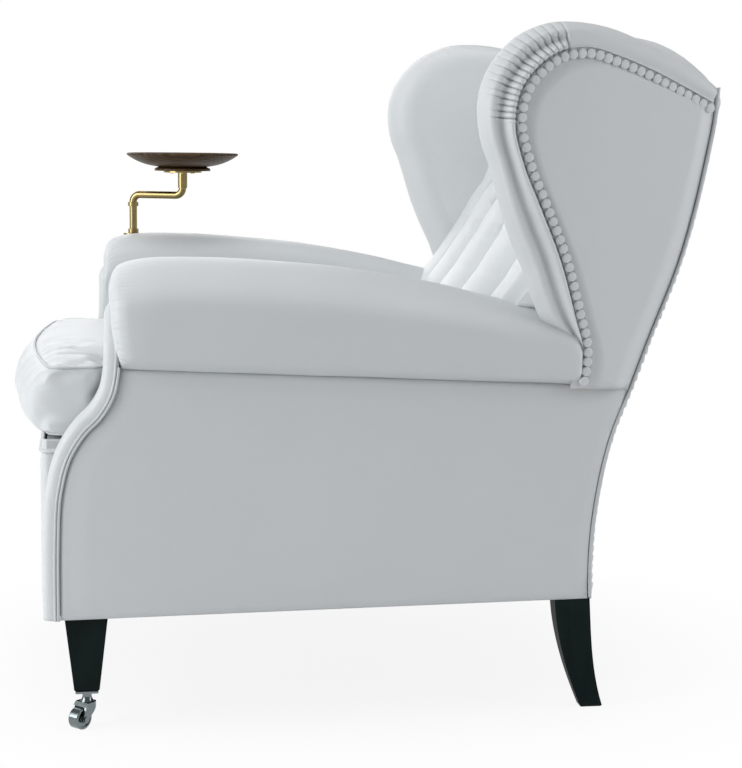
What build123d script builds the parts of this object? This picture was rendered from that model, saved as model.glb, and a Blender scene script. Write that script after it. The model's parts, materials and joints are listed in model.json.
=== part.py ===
from build123d import *
import os
from math import cos, hypot, radians, sin, sqrt

# A wing-back club chair on casters, with a tray that swings on a brass arm.
# Millimetres. Z is up, the front of the chair looks along -Y and the sitter's left is +X.
# The origin lies on the floor under the middle of the chair.
# An outline is a list of (y, z) places, drawn on an upright plane that faces sideways.

# Gaps
CONTACT_GAP = 0.3
BACK_SLACK = 1.0
CUSHION_GAP = 2.5
RUNNING_GAP = 0.08
CUT_OVERRUN = 20

# Body box
BODY_BOTTOM = 163
SIDE_FRONT_Y = -430
FACING_INNER_HALF = 335
FACING_WIDE = 53
FACING_REVEAL = 2
SIDE_FRONT_HALF = FACING_INNER_HALF + FACING_WIDE + FACING_REVEAL
BACK_FOOT_Y = 325
SIDE_TAPER = 39.3
SIDE_FOOT_HALF = SIDE_FRONT_HALF - SIDE_TAPER
BACK_TOP_Y = 504
BACK_CORNER_Z = 899
PANEL = 4

# Wings
WING_FRONT_Y = 142
WING_FLARE = 15
WING_FRONT_HALF = SIDE_FRONT_HALF + WING_FLARE
WING_TAPER = 87
WING_REAR_HALF = WING_FRONT_HALF - WING_TAPER
WING_TOP = 982
WING_PAD = 66
WING_PROUD = 4
WING_BOARD = 22

# Arms
ARM_FRONT_Y = -362
ARM_REAR_Y = 288
EAR_WIDE = 85
ARM_INNER_HALF = FACING_INNER_HALF - EAR_WIDE
ARM_RIDGE_INSET = 70
ARM_RIDGE_HALF = SIDE_FRONT_HALF - ARM_RIDGE_INSET
ARM_RISE = 151
ARM_OVERHANG = 33
SEAM_FRONT_Z = 508
SEAM_DROP = 34
ARM_RAIL_WIDE = 40
ARM_RAIL_HIGH = 28

# Arm fronts
FRONT_EDGE_RUN = 85
FACING_TOP = 597
FACING_THICK = 17
FACING_ROUND = 15
WELT = 6
POST_THICK = 42
WELT_PROUD = 1
POST_DEPTH = 58

# Frame
RAIL_THICK = 30
RAIL_HIGH = 118
FRONT_RAIL_HIGH = 206
UPRIGHT_DEPTH = 45
UPRIGHT_THICK = 35
UPRIGHT_TOP = 842
BLOCK_LEG = 62
BLOCK_HIGH = 60
LOWER_RAIL_Z = 404
LOWER_RAIL_HIGH = 50
CREST_RAIL_HIGH = 62

# Bottom cloth, webbing and springs
DUST_COVER = 1.2
WEBBING = 3
STRAP_WIDE = 50
STRAPS_ALONG = 5
STRAPS_ACROSS = 6
SPRINGS_ALONG = 4
SPRINGS_ACROSS = 3
SPRING_END_RADIUS = 42
SPRING_WAIST_RADIUS = 24
SPRING_SIDES = 12
HESSIAN = 3

# Seat
DECK_TOP = 403
DECK_THICK = 24
CUSHION_FRONT_Y = -497
CUSHION_REAR_Y = 142
CUSHION_SIDE_GAP = 4
CUSHION_EAR_HALF = FACING_INNER_HALF - CUSHION_SIDE_GAP
CUSHION_EAR_BACK_Y = -366
CUSHION_EDGE_Z = 505
CUSHION_CROWN_Z = 540
CUSHION_BELLY = 40
CUSHION_CORNER = 14

# Front border
BORDER_FRONT_Y = -452
BORDER_TUCK = 6
LISTEL_HIGH = 18
LISTEL_PROUD = 4

# Back
BACK_LOW_FRONT_Y = 150
BACK_HIGH_FRONT_Y = 360
BACK_HIGH_Z = 936
BACK_BULGE = 4
SIDE_FALL = 26
TUFT_DEPTH = 40
CREASE_DEPTH = 20
PLEAT_DEPTH = 13
BUTTON_RADIUS = 11
BUTTON_THICK = 9
BUTTON_SIDES = 12
CREST_Z = 984
CREST_PAD = 46
CREST_RAIL_DEPTH = 38

# Legs
FRONT_LEG_INSET = 45
FRONT_LEG_X = SIDE_FRONT_HALF - FRONT_LEG_INSET
FRONT_LEG_Y = -395
FRONT_LEG_TOP = 60
FRONT_LEG_FOOT = 35
FRONT_LEG_FOOT_Z = 54
FRONT_LEG_BEVEL = 3
REAR_LEG_INSET = 5.7
REAR_LEG_OUTER_HALF = SIDE_FOOT_HALF - REAR_LEG_INSET
REAR_LEG_TOP = 52
REAR_LEG_FOOT = 33
REAR_LEG_SPLAY = 42
REAR_LEG_THICK = 30
REAR_LEG_FOOT_THICK = 18
REAR_LEG_BEVEL = 2

# Casters
CASTER_TURN = -45
PLATE_SIDE = 32
PLATE_THICK = 3
PLATE_SCREW_RADIUS = 2.4
PLATE_SCREW_LONG = 16
WHEEL_RADIUS = 15
WHEEL_WIDE = 17
WHEEL_ROUND = 1.6
WHEEL_DISH = 2
HUB_RADIUS = 5
AXLE_RADIUS = 2.5
AXLE_HEAD = 1.5
AXLE_HEAD_RADIUS = 4.2
FORK_GAP = 1
FORK_CHEEK = 3
FORK_CHEEK_RADIUS = 6
FORK_CROWN = 5
FORK_CLEAR = 1.6
CASTER_TRAIL = 14
HORN_RADIUS = 10
HORN_WAIST_RADIUS = 6.5
STEM_RADIUS = 4
STEM_LONG = 14
STEM_HEAD_RADIUS = 6
STEM_HEAD = 3

# Tray and its arm
SOCKET_INSET = 29
SOCKET_X = SOCKET_INSET - SIDE_FRONT_HALF
SOCKET_Y = -308
SOCKET_RADIUS = 11
SOCKET_FLANGE_RADIUS = 17
SOCKET_FLANGE = 4
SOCKET_LIP = 652
TRAY_INSIDE = 41
TRAY_X = SOCKET_X + TRAY_INSIDE
TRAY_Y = -225
TRAY_ROD_RADIUS = 6.5
TRAY_SPIGOT = 130
TRAY_BAR_Z = 718
TRAY_BEND = 13
TRAY_COLLAR_RADIUS = 9
TRAY_COLLAR = 7
TRAY_BOSS_RADIUS = 8
TRAY_FLANGE_RADIUS = 32.5
TRAY_FLANGE = 3
TRAY_FLANGE_Z = 757
TRAY_FOOT_RADIUS = 47.5
TRAY_RIM_RADIUS = 95
TRAY_HIGH = 30
TRAY_WALL = 7
TRAY_RIM_ROUND = 3
TRAY_SCREWS = 3
TRAY_SCREW_RADIUS = 2
TRAY_SCREW_LONG = 7
TRAY_SCREW_HEAD_RADIUS = 3.6
TRAY_SCREW_HEAD = 1.8

# Nails
NAIL_RADIUS = 6.8
NAIL_PITCH = 14.4
NAIL_HIGH = 3.5
NAIL_SIDES = 8
NAIL_MARGIN = 1.2
NAIL_CROWN_SHARE = 0.55

# Outline shares: each pair is (share of the depth, share of the height) of its box.
front_edge_shares = [
    (0, 0), (0, 0.15), (0.035, 0.404), (0.235, 0.525), (0.67, 0.634), (0.965, 0.749), (1, 0.87), (1, 1)
]
back_line_shares = [
    (0.009, 0), (0, 0.07), (0.033, 0.182), (0.168, 0.335), (0.292, 0.412), (0.422, 0.494),
    (0.712, 0.673), (0.906, 0.865), (0.961, 0.939), (1, 1), (1, 1.06), (1, 1.13)
]
wing_roll_shares = [
    (0.227, 0.124), (0.21, 0.22), (0.191, 0.315), (0.104, 0.472), (0.041, 0.624), (0, 0.77),
    (0.022, 0.844), (0.09, 0.921), (0.205, 0.976), (0.361, 1), (0.505, 0.99), (0.694, 0.948),
    (0.885, 0.889), (1, 0.836), (1.033, 0.81)
]
nail_line_shares = [
    (0.432, 0), (0.4475, 0.116), (0.415, 0.1945), (0.35, 0.352), (0.26, 0.504), (0.184, 0.629),
    (0.153, 0.733), (0.173, 0.804), (0.219, 0.848), (0.313, 0.9), (0.427, 0.913),
    (0.536, 0.894), (0.686, 0.856), (0.83, 0.811), (0.94, 0.775), (1, 0.751)
]
WING_SEAT_SHARE = 0.42
ARM_SHOULDER_SHARE = 0.45
ARM_WIDEST_SHARE = 0.42
DIAGONAL_SHARE = 0.71
CREST_RIDGE_SHARE = 0.55
BUTTON_RIM_SHARE = 0.45
BUTTON_CROWN_SHARE = 0.6
HORN_WAIST_SHARE = 0.6
HORN_NECK_SHARE = 0.25
BOWL_FLARE_SHARE = 0.62
# Rear leg stations: share of its height, share of its splay, share of its taper left.
rear_leg_shares = [(1, 0, 1), (0.5, 0.32, 0.62), (0.3, 0.56, 0.34)]
# Arm stations: share of the length, share of the rise, share of the overhang.
arm_station_shares = [
    (0, 0.69, 0.2), (0.016, 0.85, 0.6), (0.057, 0.955, 0.9), (0.14, 1, 1), (0.3, 1.02, 1),
    (0.475, 0.995, 1), (0.64, 0.925, 1), (0.8, 0.8, 1), (0.9, 0.7, 1), (1, 0.55, 1)
]
# Back stations: share of the height, share of the way back, and what the section crosses.
back_station_shares = [
    (0, 0, "plain"), (0.27, 0.01, "pleats"), (0.352, 0.13, "pleats"), (0.41, 0.24, "pleats"),
    (0.54, 0.44, "row"), (0.62, 0.54, "between"), (0.7, 0.63, "offset row"),
    (0.78, 0.72, "between"), (0.86, 0.82, "row"), (0.94, 0.93, "pleats"), (1.04, 1.05, "pleats")
]
wing_section_shares = [0, 0.17, 0.34, 0.5, 0.66, 0.83, 1]
NARROW_STATIONS = 3
TUFT_QUARTERS = 9
cushion_station_shares = [-1, -0.6, 0, 0.6, 1]
crest_station_shares = [-0.96, -0.72, -0.48, -0.24, 0, 0.24, 0.48, 0.72, 0.96]


def between(low, high, share):
    return low + (high - low) * share


def placed(shares, y_low, y_high, z_low, z_high):
    """Turns outline shares into places in a box."""
    return [(between(y_low, y_high, y), between(z_low, z_high, z)) for y, z in shares]


def pushed(points, distance):
    """Moves an outline sideways, towards the front for an outline that runs upwards."""
    moved = []
    for index, (y, z) in enumerate(points):
        before = points[max(index - 1, 0)]
        after = points[min(index + 1, len(points) - 1)]
        run_y = after[0] - before[0]
        run_z = after[1] - before[1]
        length = hypot(run_y, run_z)
        moved.append((y - distance * run_z / length, z + distance * run_y / length))
    return moved


def outline_wire(spot, *runs):
    """Closes runs of places into a loop: two places make a line, more make a curve."""
    edges = []
    for run in runs:
        places = [spot(y, z) for y, z in run]
        if len(places) == 2:
            edges.append(Edge.make_line(*places))
        else:
            edges.append(Edge.make_spline(places))
    return Wire(edges)


def outline_face(spot, *runs):
    return Face(outline_wire(spot, *runs))


class Wall:
    """An upright wall of the left side that leans in plan, set by its half width at two depths."""

    def __init__(self, front_half, front_y, rear_half, rear_y):
        self.front_half = front_half
        self.front_y = front_y
        self.run = Vector(rear_half - front_half, rear_y - front_y, 0).normalized()
        self.outward = self.run.cross(Vector(0, 0, 1))

    def half(self, y, inset=0):
        """Half width at depth y, an inset behind the wall's outside face."""
        lean = self.run.X / self.run.Y
        return self.front_half + (y - self.front_y) * lean - inset / self.outward.X

    def spot(self, inset):
        """Puts places of the wall's face on a plane at an inset behind it."""
        return lambda y, z: Vector(self.half(y), y, z) - self.outward * inset

    def plate(self, inset, thickness, *runs):
        """A flat piece with its outside face at the inset."""
        return extrude(outline_face(self.spot(inset), *runs), amount=thickness, dir=-self.outward)


def side_block(inner_half, thickness, *runs):
    """A flat piece square to the chair's width."""
    return extrude(
        outline_face(lambda y, z: Vector(inner_half, y, z), *runs),
        amount=thickness,
        dir=Vector(1, 0, 0),
    )


def box_between(x_low, x_high, y_low, y_high, z_low, z_high):
    block = Box(x_high - x_low, y_high - y_low, z_high - z_low, align=Align.MIN)
    return block.moved(Location((x_low, y_low, z_low)))


def rod_up(x, y, z_low, z_high, radius):
    rod = Cylinder(radius, z_high - z_low, align=(Align.CENTER, Align.CENTER, Align.MIN))
    return rod.moved(Location((x, y, z_low)))


def faceted(plane, sides, *stations):
    """A many-sided turned shape: each station is its height above the plane and its radius."""
    faces = [(plane.offset(high) * RegularPolygon(radius, sides)).face() for high, radius in stations]
    return loft(faces, ruled=True)


def save(shape, name):
    export_step(shape, f"parts/{name}.step")


def save_pair(left_shape, name):
    """The left piece as drawn, and its mirror image on the right."""
    save(left_shape, f"left_{name}")
    save(mirror(left_shape, about=Plane.YZ), f"right_{name}")


SIDE = Wall(SIDE_FRONT_HALF, SIDE_FRONT_Y, SIDE_FOOT_HALF, BACK_FOOT_Y)
WING = Wall(WING_FRONT_HALF, WING_FRONT_Y, WING_REAR_HALF, BACK_TOP_Y)
FRAME_BOTTOM = BODY_BOTTOM + DUST_COVER + WEBBING
REAR_LEG_FRONT_Y = BACK_FOOT_Y - REAR_LEG_TOP
RAIL_TOP = FRAME_BOTTOM + RAIL_HIGH
SEAM_FALL_RATE = SEAM_DROP / (BACK_FOOT_Y - ARM_FRONT_Y)

front_edge = placed(
    front_edge_shares, SIDE_FRONT_Y, SIDE_FRONT_Y + FRONT_EDGE_RUN, BODY_BOTTOM, FACING_TOP
)
back_line = placed(back_line_shares, BACK_FOOT_Y, BACK_TOP_Y, BODY_BOTTOM, BACK_CORNER_Z)
WING_SEAT_Y = between(WING_FRONT_Y, BACK_TOP_Y, WING_SEAT_SHARE)
WING_BOTTOM = SEAM_FRONT_Z - (WING_SEAT_Y - ARM_FRONT_Y) * SEAM_FALL_RATE + CONTACT_GAP
wing_roll = placed(wing_roll_shares, WING_FRONT_Y, BACK_TOP_Y, WING_BOTTOM, WING_TOP)
nail_line = placed(nail_line_shares, WING_FRONT_Y, BACK_TOP_Y, WING_BOTTOM, WING_TOP)


def seam_z(y):
    """Height of the seam between the arm's roll and the outside side panel."""
    return SEAM_FRONT_Z - (y - ARM_FRONT_Y) * SEAM_FALL_RATE


def on_line(points, z):
    """Depth of an outline that runs upwards, at one height."""
    pairs = list(zip(points, points[1:]))
    for (y_low, z_low), (y_high, z_high) in pairs:
        if z <= z_high:
            break
    return between(y_low, y_high, (z - z_low) / (z_high - z_low))


def cut_line(points, z_low, z_high):
    """The stretch of an upward outline between two heights."""
    inner = [point for point in points if z_low < point[1] < z_high]
    return [(on_line(points, z_low), z_low)] + inner + [(on_line(points, z_high), z_high)]


def crest_z(x):
    """Height of the arched top of the back at one half width."""
    rise = CREST_Z - BACK_CORNER_Z
    radius = (WING_REAR_HALF**2 + rise**2) / (2 * rise)
    return CREST_Z - radius + sqrt(radius**2 - x**2)


def under_crest(drop):
    """A prism of all that lies under the arched top, lowered by a drop."""
    half = WING_REAR_HALF
    arch = Edge.make_three_point_arc(
        Vector(-half, 0, crest_z(half) - drop),
        Vector(0, 0, CREST_Z - drop),
        Vector(half, 0, crest_z(half) - drop),
    )
    feet = [Vector(half, 0, 0), Vector(-half, 0, 0)]
    sides = [Edge.make_line(arch @ 1, feet[0]), Edge.make_line(*feet), Edge.make_line(feet[1], arch @ 0)]
    return extrude(Face(Wire([arch] + sides)), amount=BACK_TOP_Y + CUT_OVERRUN, dir=Vector(0, 1, 0))


def straight_runs(corners):
    """The sides of a straight-sided outline."""
    return [[start, end] for start, end in zip(corners, corners[1:] + corners[:1])]


def loft_through(wires, ruled=False):
    return Solid.make_loft(wires, ruled)


# Wooden frame


def front_post():
    """The sawn post behind the arm's facing, with the facing's curve on its front edge."""
    runs = front_runs(WELT, WELT - POST_DEPTH)
    blank = side_block(FACING_INNER_HALF, POST_THICK, *runs)
    near_y, far_y = SIDE_FRONT_Y - WELT, 0
    high = FACING_TOP + CUT_OVERRUN
    corners = [
        (near_y, seam_z(near_y) - ARM_RAIL_HIGH - CONTACT_GAP),
        (far_y, seam_z(far_y) - ARM_RAIL_HIGH - CONTACT_GAP),
        (far_y, high),
        (near_y, high),
    ]
    above = side_block(0, SIDE_FRONT_HALF, *straight_runs(corners))
    below = box_between(0, SIDE_FRONT_HALF, SIDE_FRONT_Y - POST_DEPTH, 0, 0, FRAME_BOTTOM)
    return blank - above - below


def band_runs(front_push, rear_push, z_low, z_high):
    """A band that follows the chair's back line."""
    rear = cut_line(pushed(back_line, rear_push), z_low, z_high)
    front = cut_line(pushed(back_line, front_push), z_low, z_high)
    return rear, [rear[-1], front[-1]], front[::-1], [front[0], rear[0]]


def upright_half():
    """Outside face of the back uprights, inside the side rail."""
    return SIDE.half(BACK_FOOT_Y, PANEL + RAIL_THICK) - CONTACT_GAP


def back_band(half, width, z_low, z_high):
    runs = band_runs(BACK_SLACK + UPRIGHT_DEPTH, BACK_SLACK, z_low, z_high)
    return side_block(half, width, *runs)


def back_upright():
    half = upright_half() - UPRIGHT_THICK
    return back_band(half, UPRIGHT_THICK, FRAME_BOTTOM, UPRIGHT_TOP)


def upright_front_y(z):
    return on_line(pushed(back_line, BACK_SLACK + UPRIGHT_DEPTH), z)


def cross_rail(z_low, z_high):
    """A rail between the uprights that follows the back line."""
    half = upright_half() - UPRIGHT_THICK
    return back_band(-half, 2 * half, z_low, z_high)


def crest_rail():
    """The arched rail across the top of the back, between the uprights."""
    band = cross_rail(LOWER_RAIL_Z + LOWER_RAIL_HIGH, CREST_Z)
    arched = band & under_crest(CREST_PAD)
    return arched - under_crest(CREST_PAD + CREST_RAIL_HIGH)


def side_rail():
    front_y = pushed(front_edge, WELT - POST_DEPTH)[0][0]
    rear_y = BACK_FOOT_Y - CONTACT_GAP - PANEL
    corners = [
        (front_y, FRAME_BOTTOM),
        (rear_y, FRAME_BOTTOM),
        (rear_y, RAIL_TOP),
        (front_y, RAIL_TOP),
    ]
    return SIDE.plate(PANEL, RAIL_THICK, *straight_runs(corners)) - front_post()


def arm_rail():
    """The flat rail under the arm's roll, from the front post to the upright."""
    front_y = front_edge[-1][0]
    rear_y = upright_front_y(seam_z(BACK_FOOT_Y) - ARM_RAIL_HIGH) - CONTACT_GAP
    corners = [
        (front_y, seam_z(front_y) - ARM_RAIL_HIGH),
        (rear_y, seam_z(rear_y) - ARM_RAIL_HIGH),
        (rear_y, seam_z(rear_y)),
        (front_y, seam_z(front_y)),
    ]
    return SIDE.plate(PANEL, ARM_RAIL_WIDE, *straight_runs(corners))


def wing_board():
    """The board that gives the wing its shape, seated on the arm rail."""
    return field_plate(PANEL, WING_BOARD) - behind_back(2 * BACK_SLACK + UPRIGHT_DEPTH) - arm_envelope()


def front_seat_rail():
    half = FACING_INNER_HALF
    rear_y = BORDER_FRONT_Y + BORDER_TUCK + RAIL_THICK
    return box_between(
        -half, half, BORDER_FRONT_Y + BORDER_TUCK, rear_y, FRAME_BOTTOM, FRAME_BOTTOM + FRONT_RAIL_HIGH
    )


def corner_blocks():
    """Four glued blocks inside the corners of the seat frame."""
    front_y = BORDER_FRONT_Y + BORDER_TUCK + RAIL_THICK
    front_half = FACING_INNER_HALF
    rear_y = BACK_FOOT_Y - BACK_SLACK - UPRIGHT_DEPTH - CONTACT_GAP
    rear_half = upright_half() - UPRIGHT_THICK
    blocks = []
    for half, y, way in ((front_half, front_y, 1), (rear_half, rear_y, -1)):
        corners = [Vector(half, y), Vector(half - BLOCK_LEG, y), Vector(half, y + way * BLOCK_LEG)]
        face = Face(Wire.make_polygon(corners, close=True)).moved(Location((0, 0, FRAME_BOTTOM)))
        block = extrude(face, amount=BLOCK_HIGH, dir=Vector(0, 0, 1))
        blocks += [block, mirror(block, about=Plane.YZ)]
    return blocks


def front_leg():
    """A square leg that tapers to the caster, bevelled at its foot, with a recess for the stem's head."""
    top = FRONT_LEG_TOP / 2
    foot = FRONT_LEG_FOOT / 2
    low = FRONT_LEG_FOOT_Z + FRONT_LEG_BEVEL
    blank = loft_through([square_wire(foot, low), square_wire(top, FRAME_BOTTOM)], True)
    sole = square_wire(foot - FRONT_LEG_BEVEL, FRONT_LEG_FOOT_Z)
    bevel = loft_through([sole, square_wire(foot, low)], True)
    leg = (blank + bevel).moved(Location((FRONT_LEG_X, FRONT_LEG_Y, 0)))
    low_z = FRONT_LEG_FOOT_Z - CUT_OVERRUN
    recess_top = FRONT_LEG_FOOT_Z + STEM_HEAD + CUSHION_GAP
    leg = leg - rod_up(FRONT_LEG_X, FRONT_LEG_Y, low_z, recess_top, STEM_HEAD_RADIUS + CUSHION_GAP)
    top_z = FRONT_LEG_FOOT_Z + PLATE_SCREW_LONG
    for x, y in plate_screw_places():
        leg = leg - rod_up(x, y, low_z, top_z, PLATE_SCREW_RADIUS + RUNNING_GAP)
    return leg


def square_wire(half, z):
    corners = [(-half, -half, z), (half, -half, z), (half, half, z), (-half, half, z)]
    return Wire.make_polygon([Vector(*corner) for corner in corners], close=True)


def rear_leg():
    """A sabre leg, curved back and tapered to its foot."""
    stations = [(FRAME_BOTTOM * high, splay, size) for high, splay, size in rear_leg_shares]
    stations.append((REAR_LEG_BEVEL, 1, 0))
    wires = []
    for z, splay, size in stations:
        front_y = REAR_LEG_FRONT_Y + REAR_LEG_SPLAY * splay
        depth = between(REAR_LEG_FOOT, REAR_LEG_TOP, size)
        thick = between(REAR_LEG_FOOT_THICK, REAR_LEG_THICK, size)
        wires.append(leg_section(front_y, depth, thick, z, 0))
    foot_y = REAR_LEG_FRONT_Y + REAR_LEG_SPLAY
    foot = [
        leg_section(foot_y, REAR_LEG_FOOT, REAR_LEG_FOOT_THICK, 0, REAR_LEG_BEVEL),
        leg_section(foot_y, REAR_LEG_FOOT, REAR_LEG_FOOT_THICK, REAR_LEG_BEVEL, 0),
    ]
    shoulder = box_between(
        0, SIDE_FRONT_HALF, BACK_FOOT_Y - CONTACT_GAP, BACK_TOP_Y, BODY_BOTTOM - CONTACT_GAP, BACK_TOP_Y
    )
    return loft_through(wires) + loft_through(foot, True) - shoulder


def leg_section(front_y, depth, thick, z, bevel):
    outer = REAR_LEG_OUTER_HALF - bevel
    inner = REAR_LEG_OUTER_HALF - thick + bevel
    near = front_y + bevel
    far = front_y + depth - bevel
    corners = [(inner, near, z), (outer, near, z), (outer, far, z), (inner, far, z)]
    return Wire.make_polygon([Vector(*corner) for corner in corners], close=True)


# Springing and bottom cloth


def rail_inner_half(y):
    return SIDE.half(y, PANEL + RAIL_THICK)


def dust_cover():
    """The thin cloth under the seat, cut round the legs."""
    front_y = SIDE_FRONT_Y
    rear_y = BACK_FOOT_Y - CONTACT_GAP
    corners = [
        Vector(-SIDE.half(front_y, PANEL), front_y),
        Vector(SIDE.half(front_y, PANEL), front_y),
        Vector(SIDE.half(rear_y, PANEL), rear_y),
        Vector(-SIDE.half(rear_y, PANEL), rear_y),
    ]
    face = Face(Wire.make_polygon(corners, close=True)).moved(Location((0, 0, BODY_BOTTOM)))
    return extrude(face, amount=DUST_COVER, dir=Vector(0, 0, 1)) - leg_clearance()


def leg_clearance():
    """The space round the four legs where they pass the bottom cloth and the webbing."""
    half = FRONT_LEG_TOP / 2 + CONTACT_GAP
    blocks = []
    for side in (-1, 1):
        x = side * FRONT_LEG_X
        blocks.append(box_between(x - half, x + half, FRONT_LEG_Y - half, FRONT_LEG_Y + half, 0, FRAME_BOTTOM))
        inner = side * (REAR_LEG_OUTER_HALF - REAR_LEG_THICK - CONTACT_GAP)
        outer = side * (REAR_LEG_OUTER_HALF + CONTACT_GAP)
        blocks.append(
            box_between(
                min(inner, outer),
                max(inner, outer),
                REAR_LEG_FRONT_Y - CONTACT_GAP,
                REAR_LEG_FRONT_Y + REAR_LEG_TOP + REAR_LEG_SPLAY,
                0,
                FRAME_BOTTOM,
            )
        )
    return blocks


def seat_webbing():
    """Straps tacked under the rails, crossing each other in one layer."""
    z = BODY_BOTTOM + DUST_COVER
    front_y = BORDER_FRONT_Y + BORDER_TUCK
    rear_y = BACK_FOOT_Y - UPRIGHT_DEPTH
    half = rail_inner_half(BACK_FOOT_Y) - UPRIGHT_THICK
    half_wide = STRAP_WIDE / 2
    straps = []
    for index in range(STRAPS_ALONG):
        x = between(-half, half, (index + 0.5) / STRAPS_ALONG)
        reach = rear_y + RAIL_THICK
        straps.append(box_between(x - half_wide, x + half_wide, front_y, reach, z, z + WEBBING))
    for index in range(STRAPS_ACROSS):
        y = between(front_y + RAIL_THICK, rear_y, (index + 0.5) / STRAPS_ACROSS)
        reach = rail_inner_half(y) + RAIL_THICK / 2
        straps.append(box_between(-reach, reach, y - half_wide, y + half_wide, z, z + WEBBING))
    web = straps[0]
    for strap in straps[1:]:
        web = web + strap
    return web - leg_clearance()


def seat_springs():
    """Waisted coil springs as closed forms, standing on the webbing's crossings."""
    low = FRAME_BOTTOM
    high = DECK_TOP - DECK_THICK - HESSIAN
    middle = (low + high) / 2
    front_y = BORDER_FRONT_Y + BORDER_TUCK + RAIL_THICK
    rear_y = BACK_FOOT_Y - UPRIGHT_DEPTH
    half = rail_inner_half(BACK_FOOT_Y) - UPRIGHT_THICK
    ends = [(low, SPRING_END_RADIUS), (middle, SPRING_WAIST_RADIUS), (high, SPRING_END_RADIUS)]
    spring = faceted(Plane.XY, SPRING_SIDES, *ends)
    springs = []
    for along in range(SPRINGS_ALONG):
        for across in range(SPRINGS_ACROSS):
            x = between(-half, half, (across + 0.5) / SPRINGS_ACROSS)
            y = between(front_y, rear_y, (along + 0.5) / SPRINGS_ALONG)
            springs.append(spring.moved(Location((x, y, 0))))
    return springs


def seat_plan(z_low, z_high, rear_y):
    """The T of the seat: between the arms, and out in front of them."""
    inner = ARM_INNER_HALF - CONTACT_GAP
    front_y = BORDER_FRONT_Y + BORDER_TUCK
    ears_y = ARM_FRONT_Y - CONTACT_GAP
    outer = FACING_INNER_HALF - CONTACT_GAP
    body = box_between(-inner, inner, front_y, rear_y, z_low, z_high)
    return body + box_between(-outer, outer, front_y, ears_y, z_low, z_high)


def spring_hessian():
    z = DECK_TOP - DECK_THICK
    return seat_plan(z - HESSIAN, z, upright_front_y(z) - CONTACT_GAP)


def seat_platform():
    return seat_plan(DECK_TOP - DECK_THICK, DECK_TOP, upright_front_y(DECK_TOP) - CONTACT_GAP)


# Soft pieces


def cushion_section(share):
    """Side outline of the seat cushion at a share of its half width."""
    x = CUSHION_EAR_HALF * share
    swell = 1 - share**2
    low = DECK_TOP + CONTACT_GAP
    edge = CUSHION_EDGE_Z + CUSHION_CORNER * swell
    belly = CUSHION_FRONT_Y + CUSHION_CORNER * share**2
    thick = edge - low
    crown = between(edge + CUSHION_CORNER / 2, CUSHION_CROWN_Z, swell)
    tuck = belly + CUSHION_BELLY
    heel = tuck + CUSHION_BELLY
    middle_y = (CUSHION_FRONT_Y + CUSHION_REAR_Y) / 2
    rear = CUSHION_REAR_Y - CUSHION_CORNER / 2

    def at(y, z):
        return Vector(x, y, z)

    return Wire([
        Edge.make_line(at(rear, low), at(heel, low)),
        Edge.make_line(at(heel, low), at(tuck, low + CUSHION_CORNER / 3)),
        Edge.make_three_point_arc(
            at(tuck, low + CUSHION_CORNER / 3), at(belly, low + thick / 2), at(tuck, edge)
        ),
        Edge.make_three_point_arc(at(tuck, edge), at(middle_y, crown), at(rear, edge)),
        Edge.make_three_point_arc(at(rear, edge), at(CUSHION_REAR_Y, low + thick / 2), at(rear, low)),
    ])


def seat_cushion():
    """A crowned, boxed T cushion: its ears lie in front of the arms."""
    pillow = loft_through([cushion_section(share) for share in cushion_station_shares])
    for side in (-1, 1):
        inner = side * (ARM_INNER_HALF - CUSHION_GAP)
        outer = side * (CUSHION_EAR_HALF + CUT_OVERRUN)
        pillow = pillow - box_between(
            min(inner, outer),
            max(inner, outer),
            CUSHION_EAR_BACK_Y,
            CUSHION_REAR_Y + CUT_OVERRUN,
            0,
            CUSHION_CROWN_Z + CUT_OVERRUN,
        )
    return pillow


def arm_section(length_share, rise_share, overhang_share):
    """Front outline of an arm: a round roll over the rail, and a flat pad down its inner side."""
    y = between(ARM_FRONT_Y, ARM_REAR_Y, length_share)
    low = seam_z(y) + CONTACT_GAP
    high = low + ARM_RISE * rise_share
    outer = SIDE.half(y, 0)
    widest = outer + ARM_OVERHANG * overhang_share
    inner = ARM_INNER_HALF
    leg = SIDE.half(y, PANEL + ARM_RAIL_WIDE) - CONTACT_GAP
    ridge = ARM_RIDGE_HALF
    shoulder = between(low, high, ARM_SHOULDER_SHARE)
    deck = DECK_TOP - DECK_THICK

    def at(x, z):
        return Vector(x, y, z)

    turn_x = between(inner, ridge, 1 - DIAGONAL_SHARE)
    turn_z = between(shoulder, high, DIAGONAL_SHARE)
    return Wire([
        Edge.make_three_point_arc(
            at(outer, low), at(widest, between(low, high, ARM_WIDEST_SHARE)), at(ridge, high)
        ),
        Edge.make_three_point_arc(at(ridge, high), at(turn_x, turn_z), at(inner, shoulder)),
        Edge.make_line(at(inner, shoulder), at(inner, deck)),
        Edge.make_line(at(inner, deck), at(leg, deck)),
        Edge.make_line(at(leg, deck), at(leg, low)),
        Edge.make_line(at(leg, low), at(outer, low)),
    ])


def arm_envelope():
    return loft_through([arm_section(*shares) for shares in arm_station_shares], True)


def front_runs(front_push, rear_push):
    """A band that follows the arm's front curve."""
    front = pushed(front_edge, front_push)
    rear = pushed(front_edge, rear_push)
    return front, [front[-1], rear[-1]], rear[::-1], [rear[0], front[0]]


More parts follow.
